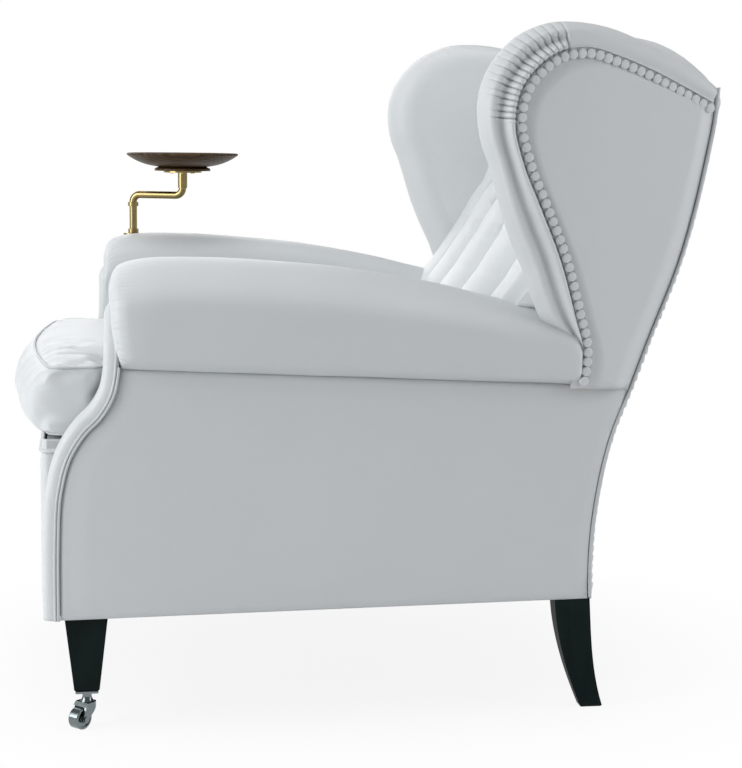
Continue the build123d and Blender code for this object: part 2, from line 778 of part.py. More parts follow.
def facing_block(width, high, front_push, rear_push, inner_half):
    """A band along the arm's front curve with a rounded head."""
    band = side_block(inner_half, width, *front_runs(front_push, rear_push))
    middle = inner_half + width / 2
    radius = width / 2
    spring_z = high - radius
    arc = Edge.make_three_point_arc(
        Vector(middle - radius, 0, spring_z), Vector(middle, 0, high), Vector(middle + radius, 0, spring_z)
    )
    feet = [Vector(middle + radius, 0, BODY_BOTTOM), Vector(middle - radius, 0, BODY_BOTTOM)]
    sides = [Edge.make_line(arc @ 1, feet[0]), Edge.make_line(*feet), Edge.make_line(feet[1], arc @ 0)]
    head = extrude(
        Face(Wire([arc] + sides)),
        amount=SIDE_FRONT_Y - 2 * FACING_WIDE,
        dir=Vector(0, 1, 0),
    )
    return band & head


def arm_facing():
    """The padded, half-round strip on the front of the arm."""
    strip = facing_block(
        FACING_WIDE, FACING_TOP, WELT + CONTACT_GAP + FACING_THICK, WELT + CONTACT_GAP, FACING_INNER_HALF
    )
    return strip


def facing_pocket():
    """What the arm's roll leaves clear for the facing and its piping."""
    facing = facing_block(
        FACING_WIDE + 2 * CONTACT_GAP,
        FACING_TOP + CONTACT_GAP,
        WELT + FACING_THICK + CUT_OVERRUN,
        WELT,
        FACING_INNER_HALF - CONTACT_GAP,
    )
    runs = front_runs(WELT + CONTACT_GAP, 0)
    piping = side_block(FACING_INNER_HALF + POST_THICK, welt_width() + 2 * CONTACT_GAP, *runs)
    return [facing, piping]


def welt_width():
    """From the post's outside face to just outside the facing."""
    return FACING_WIDE - POST_THICK - CONTACT_GAP + WELT_PROUD


def facing_welt():
    """The piping between the facing and the outside panel."""
    inner_half = FACING_INNER_HALF + POST_THICK + CONTACT_GAP
    runs = front_runs(WELT, CONTACT_GAP)
    high = FACING_TOP - FACING_WIDE / 2
    above = box_between(0, 2 * inner_half, 2 * SIDE_FRONT_Y, 0, high, FACING_TOP + CUT_OVERRUN)
    return side_block(inner_half, welt_width(), *runs) - above


def arm_pad():
    return arm_envelope() - facing_pocket() - front_post()


def outside_side_panel():
    """The flat panel from the arm's front curve to the back, under the seam."""
    front = front_edge
    rear = cut_line(pushed(back_line, CONTACT_GAP), BODY_BOTTOM, seam_z(BACK_FOOT_Y))
    peak = (BACK_FOOT_Y, FACING_TOP)
    runs = (front, [front[-1], peak], [peak, rear[-1]], rear[::-1], [rear[0], front[0]])
    panel = SIDE.plate(0, PANEL, *runs)
    near_y = SIDE_FRONT_Y
    far_y = BACK_TOP_Y
    high = FACING_TOP + CUT_OVERRUN
    corners = [
        (near_y, seam_z(near_y) - CONTACT_GAP),
        (far_y, seam_z(far_y) - CONTACT_GAP),
        (far_y, high),
        (near_y, high),
    ]
    return panel - SIDE.plate(-CUT_OVERRUN, PANEL + 2 * CUT_OVERRUN, *straight_runs(corners))


def field_line():
    """Edge of the flat field inside the row of nails."""
    return pushed(nail_line, NAIL_RADIUS + NAIL_MARGIN)


def field_plate(inset, thickness):
    """The wing's flat field, run out past the chair's back."""
    line = field_line()
    far_y = BACK_TOP_Y + CUT_OVERRUN
    runs = (
        line,
        [line[-1], (far_y, line[-1][1])],
        [(far_y, line[-1][1]), (far_y, line[0][1])],
        [(far_y, line[0][1]), line[0]],
    )
    return WING.plate(inset, thickness, *runs)


def behind_back(push):
    """Everything behind the chair's back line."""
    line = pushed(back_line, push)
    far_y = BACK_TOP_Y + UPRIGHT_DEPTH
    high = CREST_Z + CUT_OVERRUN
    half = SIDE_FRONT_HALF + ARM_OVERHANG
    runs = (
        line,
        [line[-1], (far_y, line[-1][1])],
        [(far_y, line[-1][1]), (far_y, line[0][1])],
        [(far_y, line[0][1]), line[0]],
    )
    above = box_between(-half, half, line[-1][0], far_y, line[-1][1], high)
    return side_block(-half, 2 * half, *runs) + above


def outside_wing_panel():
    return field_plate(0, PANEL) - behind_back(CONTACT_GAP)


def wing_roll_section(share):
    """Outline of the wing's padding at a share of its thickness, drawn in round the half-round roll."""
    turn = radians(between(-90, 90, share))
    inset = between(-WING_PROUD, WING_PAD - WING_PROUD, (1 + sin(turn)) / 2)
    line = pushed(wing_roll, (cos(turn) - 1) * WING_PAD / 2)
    far_y = BACK_TOP_Y + CUT_OVERRUN
    foot_z = wing_roll[0][1] - WING_PAD / 2
    runs = (
        line,
        [line[-1], (far_y, line[-1][1])],
        [(far_y, line[-1][1]), (far_y, foot_z)],
        [(far_y, foot_z), (line[0][0], foot_z)],
        [(line[0][0], foot_z), line[0]],
    )
    return outline_wire(WING.spot(inset), *runs)


def wing_pad():
    """The wing's padding: a half-round roll along the front and top, and the lining inside."""
    pad = loft_through([wing_roll_section(share) for share in wing_section_shares])
    field = field_plate(-WING_PROUD - CUT_OVERRUN, WING_PROUD + CUT_OVERRUN + PANEL + WING_BOARD)
    half = upright_half() + CONTACT_GAP
    inside = box_between(0, half, 0, BACK_TOP_Y + UPRIGHT_DEPTH, 0, CREST_Z - CREST_PAD)
    frame = behind_back(2 * BACK_SLACK + UPRIGHT_DEPTH) & inside
    return pad - field - behind_back(CONTACT_GAP) - frame - arm_envelope()


def back_panel_section(y, z):
    """A shallow bow across the outside back at one height."""
    wall = SIDE if z < WING_BOTTOM else WING
    half = wall.half(y)

    def at(x, depth):
        return Vector(x, depth, z)

    front = Edge.make_three_point_arc(at(-half, y), at(0, y + BACK_BULGE), at(half, y))
    rear_y = y + PANEL
    rear = Edge.make_three_point_arc(at(half, rear_y), at(0, rear_y + BACK_BULGE), at(-half, rear_y))
    return Wire([front, Edge.make_line(front @ 1, rear @ 0), rear, Edge.make_line(rear @ 1, front @ 0)])


def outside_back_panel():
    panel = loft_through([back_panel_section(y, z) for y, z in back_line])
    return panel & under_crest(CREST_PAD + CONTACT_GAP)


def back_station_z(share):
    return between(DECK_TOP + CONTACT_GAP, BACK_HIGH_Z, share)


def crown_y(z):
    """Depth of the back's front face in the middle of the chair."""
    line = [
        (between(BACK_LOW_FRONT_Y, BACK_HIGH_FRONT_Y, way), back_station_z(share))
        for share, way, kind in back_station_shares
    ]
    return on_line(line, z)


def puff(share):
    """Drop of stuffed leather from its crown, at 1, to a tuck, at 0."""
    return 1 - sqrt(1 - (1 - share) ** 2)


def tuck_depth(quarter, kind):
    """How far the leather is drawn in at a place counted in quarter diamonds."""
    if kind == "plain":
        return 0
    if kind == "between":
        return CREASE_DEPTH * puff(abs(quarter % 2 - 1))
    phase = (quarter if kind == "offset row" else quarter - 2) % 4
    depth = PLEAT_DEPTH if kind == "pleats" else TUFT_DEPTH
    return depth * puff(min(phase, 4 - phase) / 2)


def back_halves(index, kind, z):
    """Half widths of the back pad's front and rear at one station."""
    rear_y = upright_front_y(z) + UPRIGHT_DEPTH / 2
    if index < NARROW_STATIONS:
        half = ARM_INNER_HALF - CONTACT_GAP
        return half, half, rear_y
    side_y = crown_y(z) + SIDE_FALL + tuck_depth(TUFT_QUARTERS, kind)
    inset = WING_PAD - WING_PROUD
    return WING.half(side_y, inset) - CONTACT_GAP, WING.half(rear_y, inset) - CONTACT_GAP, rear_y


def back_place(quarter, kind, z, half):
    share = quarter / TUFT_QUARTERS
    y = crown_y(z) + SIDE_FALL * share**2 + tuck_depth(quarter, kind)
    return Vector(half * share, y, z)


def back_section(index):
    """Outline of the back pad at one height, puffed between its tucks."""
    share, way, kind = back_station_shares[index]
    z = back_station_z(share)
    front_half, rear_half, rear_y = back_halves(index, kind, z)
    eighths = range(-2 * TUFT_QUARTERS, 2 * TUFT_QUARTERS + 1)
    front = [back_place(eighth / 2, kind, z, front_half) for eighth in eighths]
    rear = [Vector(rear_half, rear_y, z), Vector(-rear_half, rear_y, z)]
    return Wire.make_polygon(front + rear, close=True)


def button_places():
    """The deepest points of the tufting: two full rows with an offset row between them."""
    places = []
    for index, (share, way, kind) in enumerate(back_station_shares):
        if kind not in ("row", "offset row"):
            continue
        z = back_station_z(share)
        front_half = back_halves(index, kind, z)[0]
        first = 0 if kind == "offset row" else 2
        for quarter in range(-TUFT_QUARTERS, TUFT_QUARTERS + 1):
            if (quarter - first) % 4 == 0:
                places.append(back_place(quarter, kind, z, front_half))
    return places


def button_plane(place):
    """Where a button stands: it looks to the front."""
    return Plane(origin=place, x_dir=(1, 0, 0), z_dir=(0, -1, 0))


def back_pad():
    """The deep-buttoned back, pleated down to the seat and up to the crest."""
    sections = [back_section(index) for index in range(len(back_station_shares))]
    pad = loft_through(sections, True)
    pad = pad & under_crest(CREST_PAD + CONTACT_GAP)
    pad = pad - behind_back(2 * BACK_SLACK + UPRIGHT_DEPTH)
    radius = BUTTON_RADIUS + CONTACT_GAP
    deep = [(0, radius), (2 * TUFT_DEPTH, radius)]
    return pad - [faceted(button_plane(place), BUTTON_SIDES, *deep) for place in button_places()]


def back_buttons():
    """Covered buttons, each a low dome on a many-sided body."""
    rim = BUTTON_THICK * BUTTON_RIM_SHARE
    crown = BUTTON_RADIUS * BUTTON_CROWN_SHARE
    stations = [(0, BUTTON_RADIUS), (rim, BUTTON_RADIUS), (BUTTON_THICK, crown)]
    lift = Vector(0, -CONTACT_GAP, 0)
    return [faceted(button_plane(place + lift), BUTTON_SIDES, *stations) for place in button_places()]


def back_webbing():
    """The webbed sheet behind the back pad, between the wings' linings."""
    half = WING.half(BACK_TOP_Y, WING_PAD - WING_PROUD) - CONTACT_GAP
    front_push = BACK_SLACK + UPRIGHT_DEPTH
    runs = band_runs(front_push, front_push - WEBBING, LOWER_RAIL_Z + LOWER_RAIL_HIGH, CREST_Z)
    return side_block(-half, 2 * half, *runs) & under_crest(CREST_PAD + CREST_RAIL_HIGH)


def crest_section(share):
    """Side outline of the roll along the top of the back."""
    x = WING_REAR_HALF * share
    top = crest_z(abs(x))
    low = top - CREST_PAD
    rear = BACK_TOP_Y + PANEL + BACK_BULGE * (1 - share**2)
    front = crown_y(low) + SIDE_FALL * share**2
    ridge = between(front, rear, CREST_RIDGE_SHARE)
    shoulder = between(low, top, DIAGONAL_SHARE)

    def at(y, z):
        return Vector(x, y, z)

    return Wire([
        Edge.make_line(at(front, low), at(rear, low)),
        Edge.make_three_point_arc(
            at(rear, low), at(between(ridge, rear, DIAGONAL_SHARE), shoulder), at(ridge, top)
        ),
        Edge.make_three_point_arc(
            at(ridge, top), at(between(ridge, front, DIAGONAL_SHARE), shoulder), at(front, low)
        ),
    ])


def crest_roll():
    """The soft roll over the arched top, closed by the wings at its ends."""
    roll = loft_through([crest_section(share) for share in crest_station_shares])
    corners = [(0, 0), (BACK_TOP_Y + UPRIGHT_DEPTH, 0)]
    corners += [(y, CREST_Z + CUT_OVERRUN) for y, z in corners[::-1]]
    inset = WING_PAD - WING_PROUD + CONTACT_GAP
    wall = WING.plate(-CUT_OVERRUN, CUT_OVERRUN + inset, *straight_runs(corners))
    return roll - wall - mirror(wall, about=Plane.YZ)


def front_border():
    """The covered front under the cushion: a raised listel over a plain apron."""
    half = FACING_INNER_HALF - CONTACT_GAP
    back_y = BORDER_FRONT_Y + BORDER_TUCK - CONTACT_GAP
    listel_z = DECK_TOP - LISTEL_HIGH
    face_y = BORDER_FRONT_Y
    edge_y = face_y - LISTEL_PROUD

    def at(y, z):
        return Vector(-half, y, z)

    listel = Edge.make_three_point_arc(
        at(face_y, listel_z), at(edge_y, (listel_z + DECK_TOP) / 2), at(face_y, DECK_TOP)
    )
    foot_y = face_y + BORDER_TUCK / 2
    corners = [listel @ 1, at(back_y, DECK_TOP), at(back_y, BODY_BOTTOM), at(foot_y, BODY_BOTTOM), listel @ 0]
    sides = [Edge.make_line(start, end) for start, end in zip(corners, corners[1:])]
    return extrude(Face(Wire([listel] + sides)), amount=2 * half, dir=Vector(1, 0, 0))


def nails(path_points, place_on, outward):
    """Faceted domed heads at an even pitch along a path."""
    path = Edge.make_spline([place_on(y, z) for y, z in path_points])
    count = round(path.length / NAIL_PITCH)
    heads = []
    stations = [(0, NAIL_RADIUS), (NAIL_HIGH, NAIL_RADIUS * NAIL_CROWN_SHARE)]
    for index in range(count):
        spot = path.position_at((index + 0.5) / count)
        heads.append(faceted(Plane(origin=spot, z_dir=outward), NAIL_SIDES, *stations))
    return heads


# Casters


def plate_screw_places():
    reach = PLATE_SIDE / 2 - 2 * PLATE_SCREW_RADIUS
    return [(FRONT_LEG_X + i * reach, FRONT_LEG_Y + j * reach) for i in (-1, 1) for j in (-1, 1)]


def caster_plate():
    top = FRONT_LEG_FOOT_Z
    blank = Box(PLATE_SIDE, PLATE_SIDE, PLATE_THICK)
    blank = fillet(blank.edges().filter_by(Axis.Z), PLATE_THICK)
    plate = blank.moved(Location((FRONT_LEG_X, FRONT_LEG_Y, top - PLATE_THICK / 2)))
    low = top - PLATE_THICK - CUT_OVERRUN
    high = top + CUT_OVERRUN
    plate = plate - rod_up(FRONT_LEG_X, FRONT_LEG_Y, low, high, STEM_RADIUS + RUNNING_GAP)
    return plate - [rod_up(x, y, low, high, PLATE_SCREW_RADIUS + RUNNING_GAP) for x, y in plate_screw_places()]


def caster_screws():
    low = FRONT_LEG_FOOT_Z - PLATE_THICK
    high = FRONT_LEG_FOOT_Z + PLATE_SCREW_LONG - CONTACT_GAP
    screws = [rod_up(x, y, low, high, PLATE_SCREW_RADIUS) for x, y in plate_screw_places()]
    return screws + [mirror(screw, about=Plane.YZ) for screw in screws]


def caster_at_leg(shape):
    return shape.moved(Location((FRONT_LEG_X, FRONT_LEG_Y, 0), (0, 0, CASTER_TURN)))


def along_axle(radius, reach):
    rod = Cylinder(radius, 2 * reach)
    return rod.moved(Location((CASTER_TRAIL, 0, WHEEL_RADIUS), (90, 0, 0)))


def caster_fork():
    """The cast horn, its crown over the wheel, the two cheeks and the riveted stem."""
    crown_low = 2 * WHEEL_RADIUS + FORK_CLEAR
    crown_high = crown_low + FORK_CROWN
    horn_high = FRONT_LEG_FOOT_Z - PLATE_THICK - CONTACT_GAP
    inner = WHEEL_WIDE / 2 + FORK_GAP
    outer = inner + FORK_CHEEK
    radius = FORK_CHEEK_RADIUS
    rear_x = -HORN_RADIUS

    def at(x, z):
        return Vector(x, -outer, z)

    foot = Edge.make_three_point_arc(
        at(CASTER_TRAIL - radius, WHEEL_RADIUS),
        at(CASTER_TRAIL, WHEEL_RADIUS - radius),
        at(CASTER_TRAIL + radius, WHEEL_RADIUS),
    )
    corners = [foot @ 1, at(CASTER_TRAIL, crown_low), at(HORN_RADIUS, crown_high), at(rear_x, crown_high)]
    corners += [at(rear_x, crown_low), foot @ 0]
    sides = [Edge.make_line(start, end) for start, end in zip(corners, corners[1:])]
    body = extrude(Face(Wire([foot] + sides)), amount=2 * outer, dir=Vector(0, 1, 0))
    slot = box_between(
        rear_x - CUT_OVERRUN, CASTER_TRAIL + CUT_OVERRUN, -inner, inner, -CUT_OVERRUN, crown_low
    )
    plan = rod_up(0, 0, -CUT_OVERRUN, crown_high, outer)
    front = box_between(0, CASTER_TRAIL + CUT_OVERRUN, -outer, outer, -CUT_OVERRUN, crown_high)
    body = (body & (plan + front)) - slot
    horn = horn_profile(crown_high, horn_high)
    head_low = FRONT_LEG_FOOT_Z + RUNNING_GAP
    stem = rod_up(0, 0, horn_high, head_low, STEM_RADIUS)
    head = rod_up(0, 0, head_low, head_low + STEM_HEAD, STEM_HEAD_RADIUS)
    fork = body + horn + stem + head
    return fork - along_axle(AXLE_RADIUS + RUNNING_GAP, outer + CUT_OVERRUN)


def horn_profile(low, high):
    """The waisted neck, turned about the swivel axis."""
    waist = Edge.make_three_point_arc(
        Vector(HORN_RADIUS, 0, low),
        Vector(HORN_WAIST_RADIUS, 0, between(low, high, HORN_WAIST_SHARE)),
        Vector(between(HORN_WAIST_RADIUS, HORN_RADIUS, HORN_NECK_SHARE), 0, high),
    )
    corners = [waist @ 1, Vector(0, 0, high), Vector(0, 0, low), waist @ 0]
    sides = [Edge.make_line(start, end) for start, end in zip(corners, corners[1:])]
    return revolve(Face(Wire([waist] + sides)), axis=Axis.Z)


def caster_wheel():
    half = WHEEL_WIDE / 2
    tyre = fillet(Cylinder(WHEEL_RADIUS, WHEEL_WIDE).edges(), WHEEL_ROUND)
    dish_radius = WHEEL_RADIUS - 2 * WHEEL_ROUND
    for side in (-1, 1):
        dish = Cylinder(dish_radius, 2 * WHEEL_DISH) - Cylinder(HUB_RADIUS, 2 * WHEEL_DISH)
        tyre = tyre - dish.moved(Location((0, 0, side * half)))
    hub = Cylinder(HUB_RADIUS, WHEEL_WIDE + 2 * (FORK_GAP - CONTACT_GAP))
    wheel = tyre + hub
    wheel = wheel.moved(Location((CASTER_TRAIL, 0, WHEEL_RADIUS), (90, 0, 0)))
    return wheel - along_axle(AXLE_RADIUS + RUNNING_GAP, WHEEL_WIDE)


def caster_axle():
    outer = WHEEL_WIDE / 2 + FORK_GAP + FORK_CHEEK
    axle = along_axle(AXLE_RADIUS, outer + AXLE_HEAD)
    for side in (-1, 1):
        head = Cylinder(AXLE_HEAD_RADIUS, AXLE_HEAD)
        place = (CASTER_TRAIL, side * (outer + RUNNING_GAP + AXLE_HEAD / 2), WHEEL_RADIUS)
        axle = axle + head.moved(Location(place, (90, 0, 0)))
    return axle


# Tray


def tray_socket():
    """The brass bush let into the arm, down through the arm rail."""
    low = seam_z(SOCKET_Y) - ARM_RAIL_HIGH + SOCKET_FLANGE / 2
    tube = rod_up(SOCKET_X, SOCKET_Y, low, SOCKET_LIP, SOCKET_RADIUS)
    lip = rod_up(SOCKET_X, SOCKET_Y, SOCKET_LIP - SOCKET_FLANGE, SOCKET_LIP, SOCKET_FLANGE_RADIUS)
    bore = rod_up(SOCKET_X, SOCKET_Y, 0, SOCKET_LIP + CUT_OVERRUN, TRAY_ROD_RADIUS + RUNNING_GAP)
    return tube + lip - bore


def socket_hole():
    tube = rod_up(SOCKET_X, SOCKET_Y, 0, WING_TOP, SOCKET_RADIUS + RUNNING_GAP)
    lip_low = SOCKET_LIP - SOCKET_FLANGE - RUNNING_GAP
    return tube + rod_up(SOCKET_X, SOCKET_Y, lip_low, WING_TOP, SOCKET_FLANGE_RADIUS + CONTACT_GAP)


def tray_arm():
    """A cranked rod: up from the socket, across, and up again to the tray's plate."""
    foot = Vector(SOCKET_X, SOCKET_Y, SOCKET_LIP - TRAY_SPIGOT)
    lower = Vector(SOCKET_X, SOCKET_Y, TRAY_BAR_Z)
    upper = Vector(TRAY_X, TRAY_Y, TRAY_BAR_Z)
    top = Vector(TRAY_X, TRAY_Y, TRAY_FLANGE_Z)
    path = FilletPolyline(foot, lower, upper, top, radius=TRAY_BEND)
    rod = sweep(Plane(origin=foot, z_dir=(0, 0, 1)) * Circle(TRAY_ROD_RADIUS), path=path)
    stop_low = SOCKET_LIP + RUNNING_GAP
    stop = rod_up(SOCKET_X, SOCKET_Y, stop_low, stop_low + TRAY_COLLAR, TRAY_COLLAR_RADIUS)
    bend_low = TRAY_BAR_Z - TRAY_BEND
    neck = rod_up(SOCKET_X, SOCKET_Y, bend_low - TRAY_COLLAR, bend_low, TRAY_COLLAR_RADIUS)
    boss = rod_up(TRAY_X, TRAY_Y, TRAY_BAR_Z + TRAY_BEND, TRAY_FLANGE_Z, TRAY_BOSS_RADIUS)
    spigot = rod_up(TRAY_X, TRAY_Y, TRAY_FLANGE_Z, TRAY_FLANGE_Z + TRAY_FLANGE, STEM_RADIUS)
    return rod + stop + neck + boss + spigot


def tray_screw_places():
    radius = (TRAY_FLANGE_RADIUS + TRAY_BOSS_RADIUS) / 2
    turn = 360 / TRAY_SCREWS
    angles = [radians(turn * index) for index in range(TRAY_SCREWS)]
    return [(TRAY_X + radius * cos(angle), TRAY_Y + radius * sin(angle)) for angle in angles]


def tray_flange():
    high = TRAY_FLANGE_Z + TRAY_FLANGE
    disc = rod_up(TRAY_X, TRAY_Y, TRAY_FLANGE_Z, high, TRAY_FLANGE_RADIUS)
    disc = disc - rod_up(TRAY_X, TRAY_Y, 0, WING_TOP, STEM_RADIUS + RUNNING_GAP)
    return disc - [rod_up(x, y, 0, WING_TOP, TRAY_SCREW_RADIUS + RUNNING_GAP) for x, y in tray_screw_places()]


def tray_screws():
    screws = []
    for x, y in tray_screw_places():
        shank = rod_up(x, y, TRAY_FLANGE_Z, TRAY_FLANGE_Z + TRAY_SCREW_LONG, TRAY_SCREW_RADIUS)
        head = rod_up(x, y, TRAY_FLANGE_Z - TRAY_SCREW_HEAD, TRAY_FLANGE_Z, TRAY_SCREW_HEAD_RADIUS)
        screws.append(shank + head)
    return screws


def tray_bowl():
    """The turned wooden bowl: a foot, a hollow flare and a rounded rim."""
    foot = TRAY_FOOT_RADIUS
    rim = TRAY_RIM_RADIUS
    waist = foot - TRAY_WALL
    floor_radius = foot - TRAY_WALL / 2

    def at(radius, height):
        return Vector(radius, 0, height)

    outer = Edge.make_three_point_arc(
        at(waist, TRAY_WALL),
        at(between(waist, rim, BOWL_FLARE_SHARE), TRAY_HIGH / 2),
        at(rim, TRAY_HIGH - TRAY_RIM_ROUND),
    )
    turn = TRAY_RIM_ROUND * (1 - DIAGONAL_SHARE)
    lip = Edge.make_three_point_arc(
        outer @ 1, at(rim - turn, TRAY_HIGH - turn), at(rim - TRAY_RIM_ROUND, TRAY_HIGH)
    )
    inner = Edge.make_three_point_arc(
        lip @ 1,
        at(between(floor_radius, rim, BOWL_FLARE_SHARE), (TRAY_HIGH + TRAY_WALL) / 2),
        at(floor_radius, TRAY_WALL + TRAY_RIM_ROUND),
    )
    corners = [inner @ 1, at(0, TRAY_WALL + TRAY_RIM_ROUND), at(0, 0), at(foot, 0), at(foot, TRAY_WALL / 2)]
    corners.append(outer @ 0)
    sides = [Edge.make_line(start, end) for start, end in zip(corners, corners[1:])]
    bowl = revolve(Face(Wire([outer, lip, inner] + sides)), axis=Axis.Z)
    bowl = bowl.moved(Location((TRAY_X, TRAY_Y, TRAY_FLANGE_Z + TRAY_FLANGE)))
    high = TRAY_FLANGE_Z + TRAY_SCREW_LONG + CONTACT_GAP
    return bowl - [rod_up(x, y, 0, high, TRAY_SCREW_RADIUS + RUNNING_GAP) for x, y in tray_screw_places()]


os.makedirs("parts", exist_ok=True)

save(front_seat_rail(), "front_seat_rail")
save(cross_rail(FRAME_BOTTOM, RAIL_TOP), "rear_seat_rail")
save_pair(side_rail(), "side_rail")
save(Compound(children=corner_blocks()), "corner_blocks")
save_pair(front_post(), "front_post")
save_pair(back_upright(), "back_upright")
save(arm_rail(), "left_arm_rail")
save(mirror(arm_rail(), about=Plane.YZ) - socket_hole(), "right_arm_rail")
save_pair(wing_board(), "wing_board")
save(cross_rail(LOWER_RAIL_Z, LOWER_RAIL_Z + LOWER_RAIL_HIGH), "lower_back_rail")
save(crest_rail(), "crest_rail")
save_pair(front_leg(), "front_leg")
save_pair(rear_leg(), "rear_leg")

save(dust_cover(), "dust_cover")
save(seat_webbing(), "seat_webbing")
save(Compound(children=seat_springs()), "seat_springs")
save(spring_hessian(), "spring_hessian")
save(seat_platform(), "seat_platform")
save(back_webbing(), "back_webbing")

save(seat_cushion(), "seat_cushion")
save(back_pad(), "back_pad")
save(Compound(children=back_buttons()), "back_buttons")
save(crest_roll(), "crest_roll")
save(arm_pad(), "left_arm_pad")
save(mirror(arm_pad(), about=Plane.YZ) - socket_hole(), "right_arm_pad")
save_pair(arm_facing(), "arm_facing")
save_pair(facing_welt(), "facing_welt")
save_pair(wing_pad(), "wing_pad")
save_pair(outside_side_panel(), "side_panel")
save_pair(outside_wing_panel(), "wing_panel")
save(outside_back_panel(), "outside_back_panel")
save(front_border(), "front_border")
save_pair(Compound(children=nails(nail_line, WING.spot(-CONTACT_GAP), WING.outward)), "wing_nails")

save_pair(caster_plate(), "caster_plate")
save(Compound(children=caster_screws()), "caster_screws")
save_pair(caster_at_leg(caster_fork()), "caster_fork")
save_pair(caster_at_leg(caster_wheel()), "caster_wheel")
save_pair(caster_at_leg(caster_axle()), "caster_axle")

save(tray_socket(), "tray_socket")
save(tray_arm(), "tray_arm")
save(tray_flange(), "tray_flange")
save(Compound(children=tray_screws()), "tray_screws")
save(tray_bowl(), "tray_bowl")
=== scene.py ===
import json
from math import cos, exp, pi, radians, sin

import bmesh
import bpy
import numpy as np
from mathutils import Matrix, Vector
from mathutils.bvhtree import BVHTree


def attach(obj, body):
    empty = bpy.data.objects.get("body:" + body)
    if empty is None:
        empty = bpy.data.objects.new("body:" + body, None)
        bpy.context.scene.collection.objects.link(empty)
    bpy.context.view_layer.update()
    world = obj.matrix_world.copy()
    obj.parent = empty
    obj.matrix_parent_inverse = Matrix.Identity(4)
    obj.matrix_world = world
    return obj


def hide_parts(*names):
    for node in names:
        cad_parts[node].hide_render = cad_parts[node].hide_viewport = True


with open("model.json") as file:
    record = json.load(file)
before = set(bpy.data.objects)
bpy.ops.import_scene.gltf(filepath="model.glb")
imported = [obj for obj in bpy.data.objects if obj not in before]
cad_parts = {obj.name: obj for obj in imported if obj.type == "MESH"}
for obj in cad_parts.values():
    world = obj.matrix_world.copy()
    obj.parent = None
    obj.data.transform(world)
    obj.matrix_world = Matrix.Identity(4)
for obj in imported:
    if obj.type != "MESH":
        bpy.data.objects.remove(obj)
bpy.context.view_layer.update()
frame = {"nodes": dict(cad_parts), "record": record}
scene = bpy.context.scene

# Shapes are worked out in millimetres: x to the sitter's left, y to the back, z up.
MM = 0.001

# Outlines of the left side as (y, z) places: the wing's roll from its foot on the arm, up and over
# to the back, the nails beside it, the body's front edge and its rear edge.
WING_EDGE = [
    (302, 526), (273, 544), (243, 566), (227, 596), (213, 634), (195, 673), (179, 714), (166.5, 755),
    (154.8, 791), (148, 807), (141, 836), (139, 862), (141.2, 883), (147.5, 903), (160, 925.5),
    (174, 942), (190, 956.5), (218, 971.5), (246, 980), (274, 982), (327, 977), (395, 955.5),
    (465, 926), (504, 899),
]
NAIL_EDGE = [
    (301.5, 483), (305.8, 509), (304.5, 537), (294, 574), (270.3, 654), (237, 731), (209.5, 794),
    (198.5, 835), (198.5, 856), (205.3, 883), (222.3, 907), (256.4, 931.4), (298, 938), (338, 928.5),
    (393, 909.4), (446, 886.4), (488, 867),
]
FRONT_EDGE = [
    (-430, 163), (-430, 228), (-429, 280), (-425, 338), (-410, 391), (-391, 420), (-373, 438),
    (-353, 472), (-347, 500), (-345, 540), (-345, 597),
]
BACK_EDGE = [
    (326.5, 156), (324.6, 205), (330.7, 297), (355.5, 410), (378.2, 466.4), (402, 527), (455, 658),
    (490.8, 799.4), (500.8, 854), (504, 899),
]
# The arched top of the back: distances from the middle, and heights.
CREST_TOP = ([0, 30, 85, 135, 185, 230, 275, 318], [981, 980, 973, 964, 953, 941, 928, 911])
# The stuffed back: heights, and the depths of its front at the middle.
BACK_FRONT = (
    [403, 547, 591, 622, 691, 734, 776, 819, 862, 904, 960],
    [150, 153, 176, 200, 243, 264, 283, 302, 323, 346, 372],
)
BODY_LOW = 163
BACK_TOP_HALF = 318
COVER_THICK = 4
REAR_WELT = 5


def length_along(path):
    """Length run at each place of a path."""
    return np.r_[0, np.cumsum(np.linalg.norm(np.diff(path, axis=0), axis=1))]


def read_at(path, run, steps):
    """A path read where its run reaches the steps."""
    return np.stack([np.interp(steps, run, path[:, i]) for i in range(path.shape[1])], axis=1)


def read_even(path, steps):
    """A path read at lengths along it."""
    return read_at(path, length_along(path), steps)


def smooth_path(points, count):
    """A smooth curve through places, read at even steps."""
    p = np.array(points, float)
    chord = length_along(p)
    slope = np.gradient(p, chord, axis=0)
    t = np.linspace(0, chord[-1], 24 * len(p))
    k = np.clip(np.searchsorted(chord, t, side="right") - 1, 0, len(p) - 2)
    h = (chord[k + 1] - chord[k])[:, None]
    u = ((t - chord[k]) / h[:, 0])[:, None]
    dense = ((2 * u**3 - 3 * u**2 + 1) * p[k] + (u**3 - 2 * u**2 + u) * h * slope[k]
             + (3 * u**2 - 2 * u**3) * p[k + 1] + (u**3 - u**2) * h * slope[k + 1])
    return read_even(dense, np.linspace(0, length_along(dense)[-1], count))


def full_turn(count):
    return np.linspace(0, 2 * pi, count, endpoint=False)


def unit(ways):
    return ways / np.linalg.norm(ways, axis=-1, keepdims=True)


def lerp(a, b, share):
    return a + (b - a) * share


def ease(x):
    """0 below 0, 1 above 1, smooth between."""
    x = np.clip(x, 0, 1)
    return x * x * (3 - 2 * x)


def turn_in(distance, width, power=2):
    """1 at an edge, falling to 0 at a width from it."""
    return (1 - np.clip(distance / width, 0, 1)) ** power


def side_half(y):
    """Half width of the side's face, which narrows to the back."""
    return 390 - 0.05205 * (y + 430)


def wing_half(y):
    """Half width of the wing's face, which narrows more."""
    return 405 - 0.24033 * (y - 142)


def rear_half(y, z, seam=478):
    """Half width at the rear corner: the side's below the arm's seam, the wing's above it."""
    return np.where(z < seam, side_half(y), wing_half(y))


